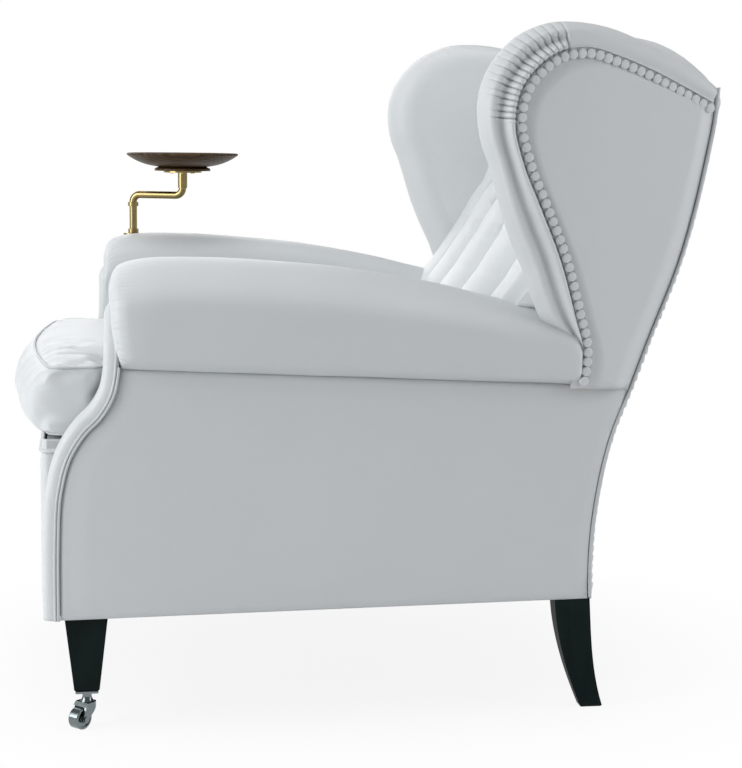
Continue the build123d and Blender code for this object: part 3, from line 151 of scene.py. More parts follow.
def seam_z(y):
    """Height of the seam under the arm."""
    return 508 - (y + 362) * 34 / 687


def edge_y(points, z):
    """Depth of an upward outline at heights z."""
    path = smooth_path(points, 200)
    return np.interp(z, path[:, 1], path[:, 0])


def crest_z(x):
    return np.interp(np.abs(x), *CREST_TOP)


def on_wall(half, place, out=0.0):
    """Places on a leaning wall, from their depth and height and a distance outward."""
    return np.stack([half(place[..., 0]) + out, place[..., 0], place[..., 1]], axis=-1)


def waviness(a, b, size, seed=0):
    """A gentle, repeatable unevenness of about one over places a, b."""
    total = 0
    for k in range(1, 5):
        turn = seed * 1.7 + k * 2.4
        total = total + np.sin((a * cos(turn) + b * sin(turn)) * k * 1.7 / size + turn * 3) / k
    return total / 1.6


# Mesh helpers

def link_object(name, data):
    made = bpy.data.objects.new(name, data)
    scene.collection.objects.link(made)
    return made


def worked_mesh(made):
    """An object's mesh with its modifiers worked in."""
    seen = made.evaluated_get(bpy.context.evaluated_depsgraph_get())
    return bpy.data.meshes.new_from_object(seen)


def piece(name, points, faces, material):
    """A closed mesh from places in millimetres, facing outward."""
    mesh = bpy.data.meshes.new(name)
    mesh.from_pydata((np.asarray(points, float).reshape(-1, 3) * MM).tolist(), [], faces)
    built = bmesh.new()
    built.from_mesh(mesh)
    bmesh.ops.remove_doubles(built, verts=built.verts, dist=1e-6)
    bmesh.ops.recalc_face_normals(built, faces=built.faces)
    built.to_mesh(mesh)
    built.free()
    mesh.shade_smooth()
    mesh.materials.append(material)
    return link_object(name, mesh)


def grid_faces(rows, wide, closed=False, first=0):
    """Faces over rows of places that are numbered row by row."""
    faces = []
    for i in range(rows - 1):
        for j in range(wide if closed else wide - 1):
            k = (j + 1) % wide
            here, above = first + i * wide, first + (i + 1) * wide
            faces.append((here + j, here + k, above + k, above + j))
    return faces


def loop_skin(name, rings, material):
    """Closes a run of closed sections into a skin, with fans over its two ends."""
    rings = np.asarray(rings, float)
    m, n = rings.shape[:2]
    faces = grid_faces(m, n, closed=True)
    for end, row in ((0, 0), (1, m - 1)):
        faces += [(row * n + j, row * n + (j + 1) % n, m * n + end) for j in range(n)]
    ends = [rings[0].mean(axis=0), rings[-1].mean(axis=0)]
    return piece(name, np.vstack([rings.reshape(-1, 3), ends]), faces, material)


def slab(name, front, back, material):
    """A closed sheet between two grids of the same size."""
    m, n = front.shape[:2]
    size = m * n
    faces = [side for face in grid_faces(m, n) for side in (face, tuple(size + k for k in face[::-1]))]
    rim = [i * n for i in range(m)] + [(m - 1) * n + j for j in range(1, n)]
    rim += [i * n + n - 1 for i in range(m - 2, -1, -1)] + list(range(n - 2, 0, -1))
    faces += [(a, b, size + b, size + a) for a, b in zip(rim, rim[1:] + rim[:1])]
    return piece(name, np.vstack([front.reshape(-1, 3), back.reshape(-1, 3)]), faces, material)


def tube(name, path, radius, material, sides=10):
    """A round cord or welt along a path, closed at its ends."""
    along = unit(np.gradient(path, axis=0))
    crosswise = np.abs(along[:, 0]).max() >= 0.9
    side = unit(np.cross(along, (0.0, 0.3, 1.0) if crosswise else (1.0, 0.0, 0.05)))
    other = np.cross(along, side)
    turn = full_turn(sides)[None, :, None]
    rings = path[:, None] + radius * (np.cos(turn) * side[:, None] + np.sin(turn) * other[:, None])
    return loop_skin(name, rings, material)


def seat(built, *nodes, body="chair"):
    """Puts a piece on its body, in place of the nodes that it stands for."""
    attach(built, body)
    if nodes:
        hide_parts(*nodes)
    return built


def both(source, base, node=None):
    """Seats a left piece and its mirror image."""
    source.name = "left_" + base
    mesh = source.data.copy()
    mesh.transform(Matrix.Scale(-1, 4, (1, 0, 0)))
    mesh.flip_normals()
    made = [source, link_object("right_" + base, mesh)]
    for built, side in zip(made, ("left_", "right_")):
        seat(built, *([side + node] if node else []))
    return made


# Materials

FLOAT, COLOUR = "NodeSocketFloat", "NodeSocketColor"


def new_material(name):
    material = bpy.data.materials.new(name)
    material.use_nodes = True
    material.node_tree.nodes.clear()
    return material, material.node_tree


def feed(socket, value):
    """Sets a socket's plain value, or links another node's output to it."""
    if isinstance(value, (int, float, tuple)):
        socket.default_value = value
    elif value is not None:
        socket.id_data.links.new(value, socket)


def fill(node, **inputs):
    for key, value in inputs.items():
        feed(node.inputs[key.replace("_", " ")], value)
    return node


def add(tree, kind, **inputs):
    return fill(tree.nodes.new(kind), **inputs)


def group(name, inputs, outputs):
    """An empty node group with named sockets, and its input and output nodes."""
    tree = bpy.data.node_groups.new(name, "ShaderNodeTree")
    for way, sockets in (("INPUT", inputs), ("OUTPUT", outputs)):
        for label, kind in sockets.items():
            tree.interface.new_socket(label, in_out=way, socket_type=kind)
    return tree, tree.nodes.new("NodeGroupInput").outputs, tree.nodes.new("NodeGroupOutput")


def use_group(tree, shared, **inputs):
    node = tree.nodes.new("ShaderNodeGroup")
    node.node_tree = shared
    return fill(node, **inputs).outputs


def scaled(value, factor, lift, clamp=False):
    return math_node("MULTIPLY_ADD", value, factor, lift, clamp=clamp)


def math_node(operation, *values, clamp=False):
    node = values[0].id_data.nodes.new("ShaderNodeMath")
    node.operation = operation
    node.use_clamp = clamp
    for socket, value in zip(node.inputs, values):
        feed(socket, value)
    return node.outputs[0]


def mix_colour(share, first, second):
    node = share.id_data.nodes.new("ShaderNodeMix")
    node.data_type = "RGBA"
    for index, value in ((0, share), (6, first), (7, second)):
        feed(node.inputs[index], value)
    return node.outputs[2]


def object_place(tree, scale=None, turned=(0.0, 0.0, 0.0)):
    """Object coordinates, stretched and turned where a scale is given."""
    coords = tree.nodes.new("ShaderNodeTexCoord").outputs["Object"]
    if scale is None:
        return coords
    return add(tree, "ShaderNodeMapping", Vector=coords, Rotation=turned, Scale=scale).outputs[0]


def noise(coords, scale, detail=3.0, roughness=0.5):
    return add(coords.id_data, "ShaderNodeTexNoise", Vector=coords, Scale=scale, Detail=detail,
               Roughness=roughness).outputs["Fac"]


def surface(height, distance, **inputs):
    """The shader of a material, with bump worked from a height, joined to the output."""
    tree = height.id_data
    bump = add(tree, "ShaderNodeBump", Height=height, Strength=1.0, Distance=distance)
    shader = add(tree, "ShaderNodeBsdfPrincipled", Normal=bump.outputs[0], **inputs)
    add(tree, "ShaderNodeOutputMaterial", Surface=shader.outputs[0])


def shade(tone, factor, lift=0.0):
    return tuple(min(1.0, c * factor + lift) for c in tone[:3]) + (1.0,)


def make_hide_group():
    """Fine pebble grain, faint stretch lines and soft unevenness of a smooth finished hide."""
    tree, given, out = group(
        "hide_surface",
        {"Tone": COLOUR, "Deep Tone": COLOUR, "Grain Depth": FLOAT, "Roughness": FLOAT},
        {"Color": COLOUR, "Roughness": FLOAT, "Height": FLOAT},
    )
    coords = object_place(tree)
    cells = add(tree, "ShaderNodeTexVoronoi", Vector=coords, Scale=720.0, Randomness=0.95)
    cells.feature = "DISTANCE_TO_EDGE"
    grain = math_node("MULTIPLY", cells.outputs["Distance"], 2.2, clamp=True)
    fine = noise(coords, 260.0, 4.0, 0.6)
    broad = noise(coords, 4.0, 2.0)
    stretch = noise(object_place(tree, (1.0, 0.35, 1.0)), 34.0, 5.0, 0.6)
    speckle = scaled(fine, 0.24, -0.12)
    share = scaled(broad, 0.8, -0.15)
    share = math_node("ADD", share, speckle, clamp=True)
    rough = scaled(fine, 0.16, -0.08)
    rough = math_node("ADD", rough, given["Roughness"])
    height = math_node("MULTIPLY", grain, given["Grain Depth"])
    height = scaled(fine, 0.5, height)
    fill(out, Color=mix_colour(share, given["Tone"], given["Deep Tone"]),
         Roughness=scaled(broad, 0.1, rough),
         Height=scaled(stretch, 1.6, height))
    return tree


def make_wear_group():
    """Lighter, rougher edges where hands and dust have been."""
    tree, given, out = group("edge_wear", {"Amount": FLOAT}, {"Mask": FLOAT})
    point = tree.nodes.new("ShaderNodeNewGeometry").outputs["Pointiness"]
    edge = scaled(point, 9.0, -4.7, clamp=True)
    mask = math_node("MULTIPLY", edge, noise(object_place(tree), 60.0, 4.0))
    fill(out, Mask=math_node("MULTIPLY", mask, given["Amount"], clamp=True))
    return tree


HIDE = make_hide_group()
WEAR = make_wear_group()


def leather(name, tone, deep, roughness=0.36, grain=0.5):
    material, tree = new_material(name)
    hide = use_group(tree, HIDE, Tone=tone, Deep_Tone=deep, Roughness=roughness, Grain_Depth=grain)
    surface(hide["Height"], 0.00022, Base_Color=hide["Color"], Roughness=hide["Roughness"],
            IOR=1.45, Sheen_Weight=0.12, Sheen_Roughness=0.5)
    return material


def stained_wood(name, dark, light, ring_scale, roughness, coat, turned=(0.0, 0.0, 0.0), shine=0.5):
    """Stained wood: rings stretched along the grain, fine pores and worn edges."""
    material, tree = new_material(name)
    coords = object_place(tree, (1.0, 1.0, 0.12), turned)
    rings = add(tree, "ShaderNodeTexWave", Vector=coords, Scale=ring_scale, Distortion=5.0,
                Detail=3.0, Detail_Scale=1.6).outputs["Fac"]
    pores = noise(coords, 900.0, 2.0)
    share = math_node("MULTIPLY", rings, noise(coords, 9.0))
    share = scaled(pores, 0.5, share)
    share = math_node("ADD", share, -0.2, clamp=True)
    worn = use_group(tree, WEAR, Amount=0.5)["Mask"]
    colour = mix_colour(worn, mix_colour(share, dark, light), shade(light, 1.6, 0.01))
    surface(math_node("ADD", pores, rings), 0.00006, Base_Color=colour, IOR=1.5,
            Roughness=scaled(pores, 0.14, roughness),
            Specular_IOR_Level=shine, Coat_Weight=coat, Coat_Roughness=0.22)
    return material


def polished(name, tone, roughness, streak_scale):
    """Polished metal with faint drawn lines and handling marks."""
    material, tree = new_material(name)
    streak = noise(object_place(tree, (1.0, 1.0, 0.08)), streak_scale)
    smudge = noise(object_place(tree), 45.0, 4.0)
    rough = scaled(smudge, 0.12, roughness)
    dull = mix_colour(math_node("MULTIPLY", smudge, 0.4), tone, shade(tone, 0.72))
    worn = use_group(tree, WEAR, Amount=0.4)["Mask"]
    surface(streak, 0.00001, Metallic=1.0,
            Base_Color=mix_colour(worn, dull, shade(tone, 1.12)),
            Roughness=scaled(streak, 0.04, rough))
    return material


def woven(name, warp_tone, weft_tone, pitch):
    """Plain woven cloth."""
    material, tree = new_material(name)
    coords = object_place(tree)
    split = add(tree, "ShaderNodeSeparateXYZ", Vector=coords)
    across, along = (
        math_node("SINE", math_node("MULTIPLY", split.outputs[i], pi / pitch))
        for i in (0, 1))
    over = scaled(math_node("MULTIPLY", across, along), 0.5, 0.5)
    half_over = math_node("MULTIPLY", over, 0.5)
    share = scaled(noise(coords, 220.0), 0.5, half_over, clamp=True)
    surface(over, 0.0002, Base_Color=mix_colour(share, warp_tone, weft_tone),
            Roughness=0.85)
    return material


pale_hide = leather("pale_hide", (0.665, 0.69, 0.70, 1.0), (0.61, 0.64, 0.655, 1.0))
welt_hide = leather(
    "pale_hide_welt", (0.60, 0.63, 0.645, 1.0), (0.50, 0.535, 0.555, 1.0), 0.4, 0.8)
nail_hide = leather(
    "pale_hide_nails", (0.68, 0.70, 0.71, 1.0), (0.61, 0.635, 0.65, 1.0), 0.34, 0.7)
black_wood = stained_wood(
    "blackened_wood", (0.003, 0.0075, 0.0075, 1.0), (0.006, 0.014, 0.014, 1.0),
    ring_scale=26.0, roughness=0.45, coat=0.02, shine=0.08)
tray_wood = stained_wood(
    "dark_tray_wood", (0.030, 0.015, 0.005, 1.0), (0.105, 0.058, 0.024, 1.0),
    ring_scale=34.0, roughness=0.38, coat=0.03, turned=(radians(90), 0.0, radians(20)), shine=0.15)
sawn_wood = stained_wood(
    "sawn_frame_wood", (0.40, 0.26, 0.13, 1.0), (0.62, 0.45, 0.27, 1.0),
    ring_scale=20.0, roughness=0.7, coat=0.0)
bright_metal = polished("polished_chrome", (0.20, 0.23, 0.235, 1.0), 0.12, 300.0)
gold_metal = polished("polished_brass", (0.31, 0.245, 0.11, 1.0), 0.14, 300.0)
spring_wire = polished("drawn_wire", (0.42, 0.42, 0.43, 1.0), 0.3, 500.0)
jute = woven("jute_webbing", (0.36, 0.27, 0.15, 1.0), (0.52, 0.41, 0.25, 1.0), 0.0022)
black_cloth = woven("black_bottom_cloth", (0.012, 0.012, 0.013, 1.0), (0.03, 0.03, 0.032, 1.0), 0.0006)
deck_cloth = woven("deck_cloth", (0.52, 0.53, 0.54, 1.0), (0.62, 0.63, 0.64, 1.0), 0.0008)

FINISHES = (
    (black_wood, ("front_leg", "rear_leg")),
    (tray_wood, ("tray_bowl",)),
    (gold_metal, ("tray_arm", "tray_socket", "tray_flange", "tray_screws")),
    (bright_metal, ("caster_plate", "caster_screws", "caster_fork", "caster_wheel", "caster_axle")),
    (spring_wire, ("seat_springs",)),
    (black_cloth, ("dust_cover",)),
    (jute, ("seat_webbing", "back_webbing", "spring_hessian")),
    (deck_cloth, ("seat_platform", "front_post")),
)
node_finish = {base: finish for finish, bases in FINISHES for base in bases}
slots = {part["node"]: part["material_slot"] for part in frame["record"]["subparts"]}
for node_name, node in frame["nodes"].items():
    base = node_name.replace("left_", "").replace("right_", "")
    covered = slots.get(node_name) == "leather"
    node.data.materials.clear()
    node.data.materials.append(pale_hide if covered else node_finish.get(base, sawn_wood))


# Outside side panels: flat leather, tucked in under the arm's seam and turned in at the back.

def side_panel():
    u, v = np.meshgrid(np.linspace(0, 1, 150), np.linspace(0, 1, 90))
    z = lerp(BODY_LOW, 500, v)
    for step in range(4):
        y = lerp(edge_y(FRONT_EDGE, z), edge_y(BACK_EDGE, z), u)
        z = lerp(BODY_LOW, seam_z(y) - 0.5, v)
    front, back = edge_y(FRONT_EDGE, z) + 0.3, edge_y(BACK_EDGE, z) - REAR_WELT
    y = np.clip(y, front, back)
    from_front, from_back = y - front, back - y
    from_top, from_low = seam_z(y) - z, z - BODY_LOW
    proud = 2.6 * ease(from_front / 40) * ease(from_top / 30) * ease(from_low / 45)
    proud = proud - 5.0 * turn_in(from_back, 30, 2.2) - 3.0 * turn_in(from_top, 5)
    proud = proud - 4.0 * turn_in(from_low, 11) - 2.5 * turn_in(from_front, 5)
    proud = proud + 0.7 * waviness(y, z, 150, 1) * ease(from_front / 60) * ease(from_back / 60)
    place = np.stack([y, z], axis=-1)
    outer, inner = on_wall(side_half, place, proud), on_wall(side_half, place, -COVER_THICK)
    tuck = on_wall(side_half, place[-1:], 0.3 - COVER_THICK)
    above = (0, 0, 7)
    outer = np.concatenate([outer, tuck, tuck + above])
    inner = np.concatenate([inner, inner[-1:], inner[-1:] + above])
    return slab("side_panel", outer, inner, pale_hide)


both(side_panel(), "side_cover", "side_panel")


# Wings

def wing_spine(count):
    """Places up the back edge that the wing's flat faces run to."""
    heights = np.linspace(468, 893, count)
    return np.stack([edge_y(BACK_EDGE, heights), heights], axis=1)


def wing_panel():
    """The wing's outside, from the back edge to a strip tucked under the roll beside the nails."""
    n = 140
    nails = smooth_path([(300, 471.5)] + NAIL_EDGE + [(494, 876)], n)
    spine = smooth_path(wing_spine(40), n)
    spine[:, 0] -= REAR_WELT
    share = np.linspace(0, 1, 110) ** 1.4
    flat = nails[None] + (spine - nails)[None] * share[:, None, None]
    reach = np.linalg.norm(flat - nails[None], axis=-1)
    rest = np.linalg.norm(spine[None] - flat, axis=-1)
    proud = -1.6 + 5.4 * ease((reach - 3) / 26) * ease(rest / 30) + 1.6 * ease(reach / 10)
    proud = proud - 4.6 * turn_in(rest, 26) * ease(reach / 20)
    proud = proud + 0.6 * waviness(flat[..., 0], flat[..., 1], 130, 4) * ease(reach / 50)
    over_seam = flat[..., 1] - seam_z(flat[..., 0])
    proud = proud + 1.2 * np.exp(-((over_seam - 5) / 3) ** 2) - 3.0 * np.exp(-(over_seam / 2) ** 2)
    way = unit(nails - spine)
    forward = 11 + 7 * (1 - ease(np.arange(n) / 6))[:, None]
    flat = np.concatenate([(nails + way * forward)[None], (nails + way * 7)[None], flat])
    proud = np.concatenate([np.full((1, n), -3.6), np.full((1, n), -3.2), proud])
    outer, inner = on_wall(wing_half, flat, proud), on_wall(wing_half, flat, -COVER_THICK)
    return slab("wing_panel", outer, inner, pale_hide)


both(wing_panel(), "wing_cover", "wing_panel")

# Shares along the wing's edge, closer together where it is gathered.
wing_steps = np.r_[
    np.linspace(0, 0.425, 130, endpoint=False),
    np.linspace(0.425, 0.70, 380, endpoint=False),
    np.linspace(0.70, 1, 90),
]
FINE = 2400


def read_path(points, shares):
    """Places at shares of the length of a smooth curve."""
    dense = smooth_path(points, FINE)
    at = np.asarray(shares) * (FINE - 1)
    return read_at(dense, np.arange(FINE), at)


def share_near(points, place):
    dense = smooth_path(points, FINE)
    return np.argmin(np.linalg.norm(dense - np.array(place), axis=1)) / (FINE - 1)


wing_edge = read_path(WING_EDGE, wing_steps)

# Matching places on the wing's edge and on the row of nails.
NAIL_MATCH = [
    ((302, 526), (305, 523)), ((243, 566), (283, 612)), ((195, 673), (238, 729)),
    ((155, 791), (204, 810)), ((139, 850), (198, 846)), ((160, 925.5), (214, 897)),
    ((200, 963), (241, 922)), ((260, 982), (268, 934)), ((395, 955.5), (384, 912)),
    ((504, 899), (488, 867)),
]


def nearest_nails():
    """For each place on the wing's edge, the matching place on the row of nails."""
    edge_shares = [share_near(WING_EDGE, a) for a, b in NAIL_MATCH]
    nail_shares = [share_near(NAIL_EDGE, b) for a, b in NAIL_MATCH]
    return read_path(NAIL_EDGE, np.interp(wing_steps, edge_shares, nail_shares))


# Sections of the roll from the nails to the wing's edge: share of the way, and how far out of
# the wall's face. The first is the rolled front, the second the flat band over the top.
ROLL_SECTION = [
    (1.0, 0.4), (0.945, 1.0), (0.905, 0.4), (0.870, -4.2), (0.85, 0.2), (0.82, 6.4), (0.785, 9.8),
    (0.74, 9.6), (0.69, 7.0), (0.63, 2.4), (0.57, -2.4), (0.52, -5.0), (0.475, -4.6), (0.42, -2.2),
    (0.35, -0.8), (0.27, -2.6), (0.18, -8.2), (0.09, -14.8), (0.03, -20.8), (0.0, -26.0),
]
BAND_SECTION = [
    (1.0, 0.4), (0.93, 0.8), (0.875, 0.6), (0.84, 0.2), (0.80, 3.8), (0.755, 4.8), (0.70, 3.2),
    (0.63, 3.0), (0.55, 3.4), (0.47, 3.8), (0.39, 4.0), (0.30, 3.8), (0.21, 2.8), (0.13, 0.0),
    (0.06, -6.0), (0.016, -14.5), (0.0, -24.0),
]
# Round the edge to the wing's inside face: distance in from the edge, and out of the wall's face.
INSIDE_SECTION = [
    (0.0, -24.0), (1.5, -34.0), (6.0, -44.0), (13.0, -52.0), (23.0, -57.5), (36.0, -60.5),
    (52.0, -61.5),
]
GROOVE_SHARE = 0.867
NAIL_CLEARANCE = 8.0


def section_path(section):
    path = smooth_path([(share * 60, out) for share, out in section], 46)
    path[:, 0] /= 60
    return path


def gathers(s):
    """Seventeen gathers, closer together at the front of the corner than over its top.

    Gives where they hold, how deep each line is, how full the leather between two lines is, and
    the share of the roll's width where each one begins.
    """
    held = ease((s - 0.437) / 0.008) * (1 - ease((s - 0.684) / 0.006))
    beat = np.interp(s, [0.437, 0.52, 0.60, 0.684], [0, 6.6, 12.0, 17])
    part = beat % 1
    line = np.exp(-part / 0.13) + np.exp(-(1 - part) / 0.05)
    swell = np.sin(pi * part) ** 0.7
    start = 0.16 * np.sin(np.floor(beat) * 2.6 + 1) + lerp(0.24, -0.5, ease((s - 0.48) / 0.12))
    return held, line, swell, start


def wing_roll():
    """The wing's padded edge and its inside face, gathered at the top front corner."""
    s = wing_steps
    nails = nearest_nails()
    width = np.linalg.norm(nails - wing_edge, axis=1)
    inward = (nails - wing_edge) / width[:, None]
    held, line, swell, start = gathers(s)
    band = ease((s - 0.672) / 0.02)
    # The groove beside the nails stays clear of their heads all along.
    groove = 1 - NAIL_CLEARANCE / width
    rows = []
    for (told, out), (_, flat_out) in zip(section_path(ROLL_SECTION), section_path(BAND_SECTION)):
        past_groove = 1 - (1 - told) / (1 - GROOVE_SHARE) * (1 - groove)
        share = past_groove if told > GROOVE_SHARE else told / GROOVE_SHARE * groove
        place = wing_edge + inward * (share * width)[:, None]
        pull = held * ease((share - start) / 0.30) * ease((0.93 - share) / 0.05)
        strong = 0.45 + 0.55 * ease((share - 0.2) / 0.6)
        puff = pull * (2.0 * swell - 7.0 * line) * strong
        soft = 0.45 * waviness(s * 900, share * 60, 60, 2) * ease((0.86 - share) * 8)
        rows.append(on_wall(wing_half, place, lerp(out, flat_out, band) + puff + soft))
    for depth, out in smooth_path(INSIDE_SECTION, 16)[1:]:
        fade = held * exp(-(depth / 12) ** 2) * ease((s - 0.55) / 0.08)
        last = wing_edge + inward * depth
        rows.append(on_wall(wing_half, last, out - fade * 1.6 * line))
    spine = read_at(wing_spine(40), np.linspace(0, 1, 40), s)
    spine[:, 0] -= 26
    for share in np.linspace(0.06, 1, 22):
        place = last + (spine - last) * share
        uneven = waviness(place[:, 0], place[:, 1], 120, 7)
        rows.append(on_wall(wing_half, place, -61.5 - 5.0 * np.sin(pi * share) + uneven))
    rows.append(rows[-1] + (24, 0, 0))
    rows.append(on_wall(wing_half, wing_edge + inward * (width * 0.95)[:, None], -26))
    rows.append(on_wall(wing_half, nails, -14))
    return loop_skin("wing_roll", np.stack(rows, axis=1), pale_hide)


for made in both(wing_roll(), "wing_roll", "wing_pad"):
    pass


# Arms

# Depths along the arm, how high its roll stands there, and how far it stands out sideways.
ARM_STATIONS = [
    (-360, 0.66, 0.10), (-359.4, 0.74, 0.25), (-357, 0.82, 0.48), (-351, 0.885, 0.70),
    (-341, 0.925, 0.86), (-325, 0.955, 0.95), (-300, 0.985, 1.0), (-271, 1.0, 1.0),
    (-215, 1.012, 1.0), (-154, 1.012, 1.0), (-54, 0.995, 1.0), (52, 0.925, 1.0), (120, 0.86, 1.0),
    (160, 0.81, 1.0), (212, 0.75, 1.0), (238, 0.725, 1.0), (262, 0.70, 1.0), (277, 0.675, 0.98),
    (288, 0.645, 0.93), (293.5, 0.62, 0.86), (297, 0.59, 0.76),
]
ARM_FRONT_Y = -360
ARM_INNER_HALF = 250
ARM_INNER_LOW = 381


def arm_ring(y, rise, spread):
    """A section across the arm: round its roll from the seam, down its inside and underneath."""
    low = seam_z(y) + 0.5
    high = low + 151 * rise - 0.0065 * max(y + 250, 0)
    ridge = 318 - 0.052 * max(y + 300, 0)
    outer, inner = side_half(y), ARM_INNER_HALF
    widest = outer + 31 * spread
    roll = smooth_path([(x, lerp(low, high, share)) for x, share in (
        (outer - 1.5, 0), (lerp(outer, widest, 0.62), 0.10), (lerp(outer, widest, 0.93), 0.25),
        (widest, 0.42), (lerp(outer, widest, 0.90), 0.63), (outer + 1, 0.84),
        (lerp(ridge, outer, 0.52), 0.957), (ridge, 1), (lerp(ridge, inner, 0.45), 0.965),
        (lerp(ridge, inner, 0.80), 0.85), (inner + 2, 0.66), (inner, 0.42),
    )], 240)
    bow = 1.5 * np.sin(np.linspace(0, pi, 15))
    drop = np.column_stack([inner - bow, np.linspace(lerp(low, high, 0.42), ARM_INNER_LOW, 16)[1:]])
    under = [(306, ARM_INNER_LOW), (344, low - 6), (345, low)]
    ring = np.vstack([roll, drop, under])
    return np.column_stack([ring[:, 0], np.full(len(ring), y), ring[:, 1]])


def arm_roll():
    path = np.array(ARM_STATIONS, float)
    run = length_along(path[:, :2] * (1, 150))
    tail = run[-1] - 60
    steps = np.unique(np.r_[
        np.linspace(0, 150, 46), np.linspace(150, tail, 52), np.linspace(tail, run[-1], 18)])
    smooth = smooth_path(np.column_stack([run, path]), 900)
    rings = np.array([arm_ring(*place) for place in read_at(smooth[:, 1:], smooth[:, 0], steps)])
    # Short creases round the head of the arm's front, where the hide is pulled under the piping.
    from_front = rings[:, :1, 1] - ARM_FRONT_Y
    around = np.linspace(0, 1, rings.shape[1])[None, :]
    beat = around * 46 + 0.6 * np.sin(around * 21)
    part = beat % 1
    line = np.exp(-part / 0.16) + np.exp(-(1 - part) / 0.07)
    reach = 21 * (0.7 + 0.3 * np.sin(np.floor(beat) * 2.3 + 1))
    fade = np.exp(-(from_front / reach) ** 2)
    fade = fade * ease((around - 0.03) / 0.03) * (1 - ease((around - 0.78) / 0.03))
    way = rings - (322.0, 0.0, 545.0)
    way[..., 1] = 0
    way = unit(way)
    rings = rings - way * (2.6 * line * fade)[..., None]
    uneven = waviness(rings[..., 1], around * 300, 110, 3)
    rings = rings + way * (0.7 * uneven * ease(from_front / 60) * (around < 0.8))[..., None]
    # The roll's front edge leans back towards its seam and over its crown.
    lean = np.interp(rings[..., 2], [505, 520, 536, 568, 610, 642, 662], [17, 12, 6.7, 1.6, 0, 3, 8])
    rings[..., 1] += lean * np.exp(-(np.clip(from_front, 0, 999) / 30) ** 2)
    return loop_skin("arm_roll", rings, pale_hide)


for made in both(arm_roll(), "arm_roll", "arm_pad"):
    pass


# Arm fronts: a padded strip down the S-shaped front edge, with two rows of piping beside it.

def front_curve(count, forward):
    """The arm's front edge moved forward along its own normal."""
    path = smooth_path(FRONT_EDGE, count)
    along = unit(np.gradient(path, axis=0))
    return path + np.stack([-along[:, 1], along[:, 0]], axis=1) * forward


STRIP_MIDDLE, STRIP_HALF = 361.5, 26.5


def arm_front():
    m, n = 150, 60
    base = front_curve(m, 0)
    head = np.clip((base[:, 1] - 570.5) / 26.6, 0, 1)
    across = np.sin(np.linspace(-pi / 2, pi / 2, n))
    dome = (1 - np.abs(across) ** 6) ** 0.5
    rings = []
    for i, share in enumerate(np.sqrt(1 - head**2)):
        along = base[min(i + 1, m - 1)] - base[max(i - 1, 0)]
        along /= np.linalg.norm(along)
        ahead = np.array([-along[1], along[0]])
        out = np.r_[5.0 + 18.0 * dome * max(share, 0.02) ** 0.7, 3.0, 3.0]
        x = STRIP_MIDDLE + share * np.r_[across * STRIP_HALF, STRIP_HALF - 0.5, 0.5 - STRIP_HALF]
        rings.append(np.column_stack([x, base[i] + np.outer(out, ahead)]))
    return loop_skin("arm_front", rings, pale_hide)


for made in both(arm_front(), "arm_front", "arm_facing"):
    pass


def front_piping(x, forward, high, radius, name):
    path = front_curve(260, forward)
    path = path[path[:, 1] < high]
    return tube(name, np.column_stack([np.full(len(path), x), path]), radius, welt_hide)


both(front_piping(388.8, 6.3, 592, 2.1, "front_piping"), "front_piping", "facing_welt")
both(front_piping(389.8, 2.2, 512, 2.0, "side_piping"), "side_piping")


def rear_welt():
    """The cord down the rear corner, between the side and the outside back."""
    heights = np.linspace(BODY_LOW + 2, 895, 260)
    y = edge_y(BACK_EDGE, heights)
    path = np.column_stack([rear_half(y, heights, 476) - 2.8, y - 1.4, heights])
    for turn in range(6):
        path[1:-1] = (path[:-2] + 2 * path[1:-1] + path[2:]) / 4
    return tube("rear_welt", path, REAR_WELT / 2, welt_hide)


both(rear_welt(), "rear_welt")


# Nails: covered heads, set along their row by the same tree everywhere.

def nail_tree():
    tree = bpy.data.node_groups.new("nail_row", "GeometryNodeTree")
    for label, kind in (("Row", "NodeSocketGeometry"), ("Head", "NodeSocketObject"),
                        ("Pitch", FLOAT), ("Head Radius", FLOAT), ("Head Height", FLOAT),
                        ("Outward", "NodeSocketVector"), ("Finish", "NodeSocketMaterial")):
        tree.interface.new_socket(label, in_out="INPUT", socket_type=kind)
    tree.interface.new_socket("Nails", in_out="OUTPUT", socket_type="NodeSocketGeometry")
    given = tree.nodes.new("NodeGroupInput").outputs
    row = tree.nodes.new("GeometryNodeResampleCurve")
    row.mode = "LENGTH"
    fill(row, Curve=given["Row"], Length=given["Pitch"])
    head = add(tree, "GeometryNodeObjectInfo", Object=given["Head"])
    size = add(tree, "ShaderNodeCombineXYZ", X=given["Head Radius"], Y=given["Head Radius"],
               Z=given["Head Height"])
    sized = add(tree, "GeometryNodeTransform", Geometry=head.outputs["Geometry"],
                Scale=size.outputs[0])
    face = add(tree, "FunctionNodeAlignRotationToVector", Vector=given["Outward"])
    face.axis = "Z"
    uneven = tree.nodes.new("FunctionNodeRandomValue")
    uneven.data_type = "FLOAT_VECTOR"
    fill(uneven, Min=(0.965, 0.965, 0.9), Max=(1.02, 1.02, 1.1), Seed=7)
    placed = add(tree, "GeometryNodeInstanceOnPoints", Points=row.outputs["Curve"],
                 Instance=sized.outputs["Geometry"], Rotation=face.outputs["Rotation"],
                 Scale=uneven.outputs["Value"])
    solid = add(tree, "GeometryNodeRealizeInstances", Geometry=placed.outputs["Instances"])
    smooth = add(tree, "GeometryNodeSetShadeSmooth", Geometry=solid.outputs["Geometry"])
    paint = add(tree, "GeometryNodeSetMaterial", Geometry=smooth.outputs["Geometry"],
                Material=given["Finish"])
    add(tree, "NodeGroupOutput", Nails=paint.outputs["Geometry"])
    return tree


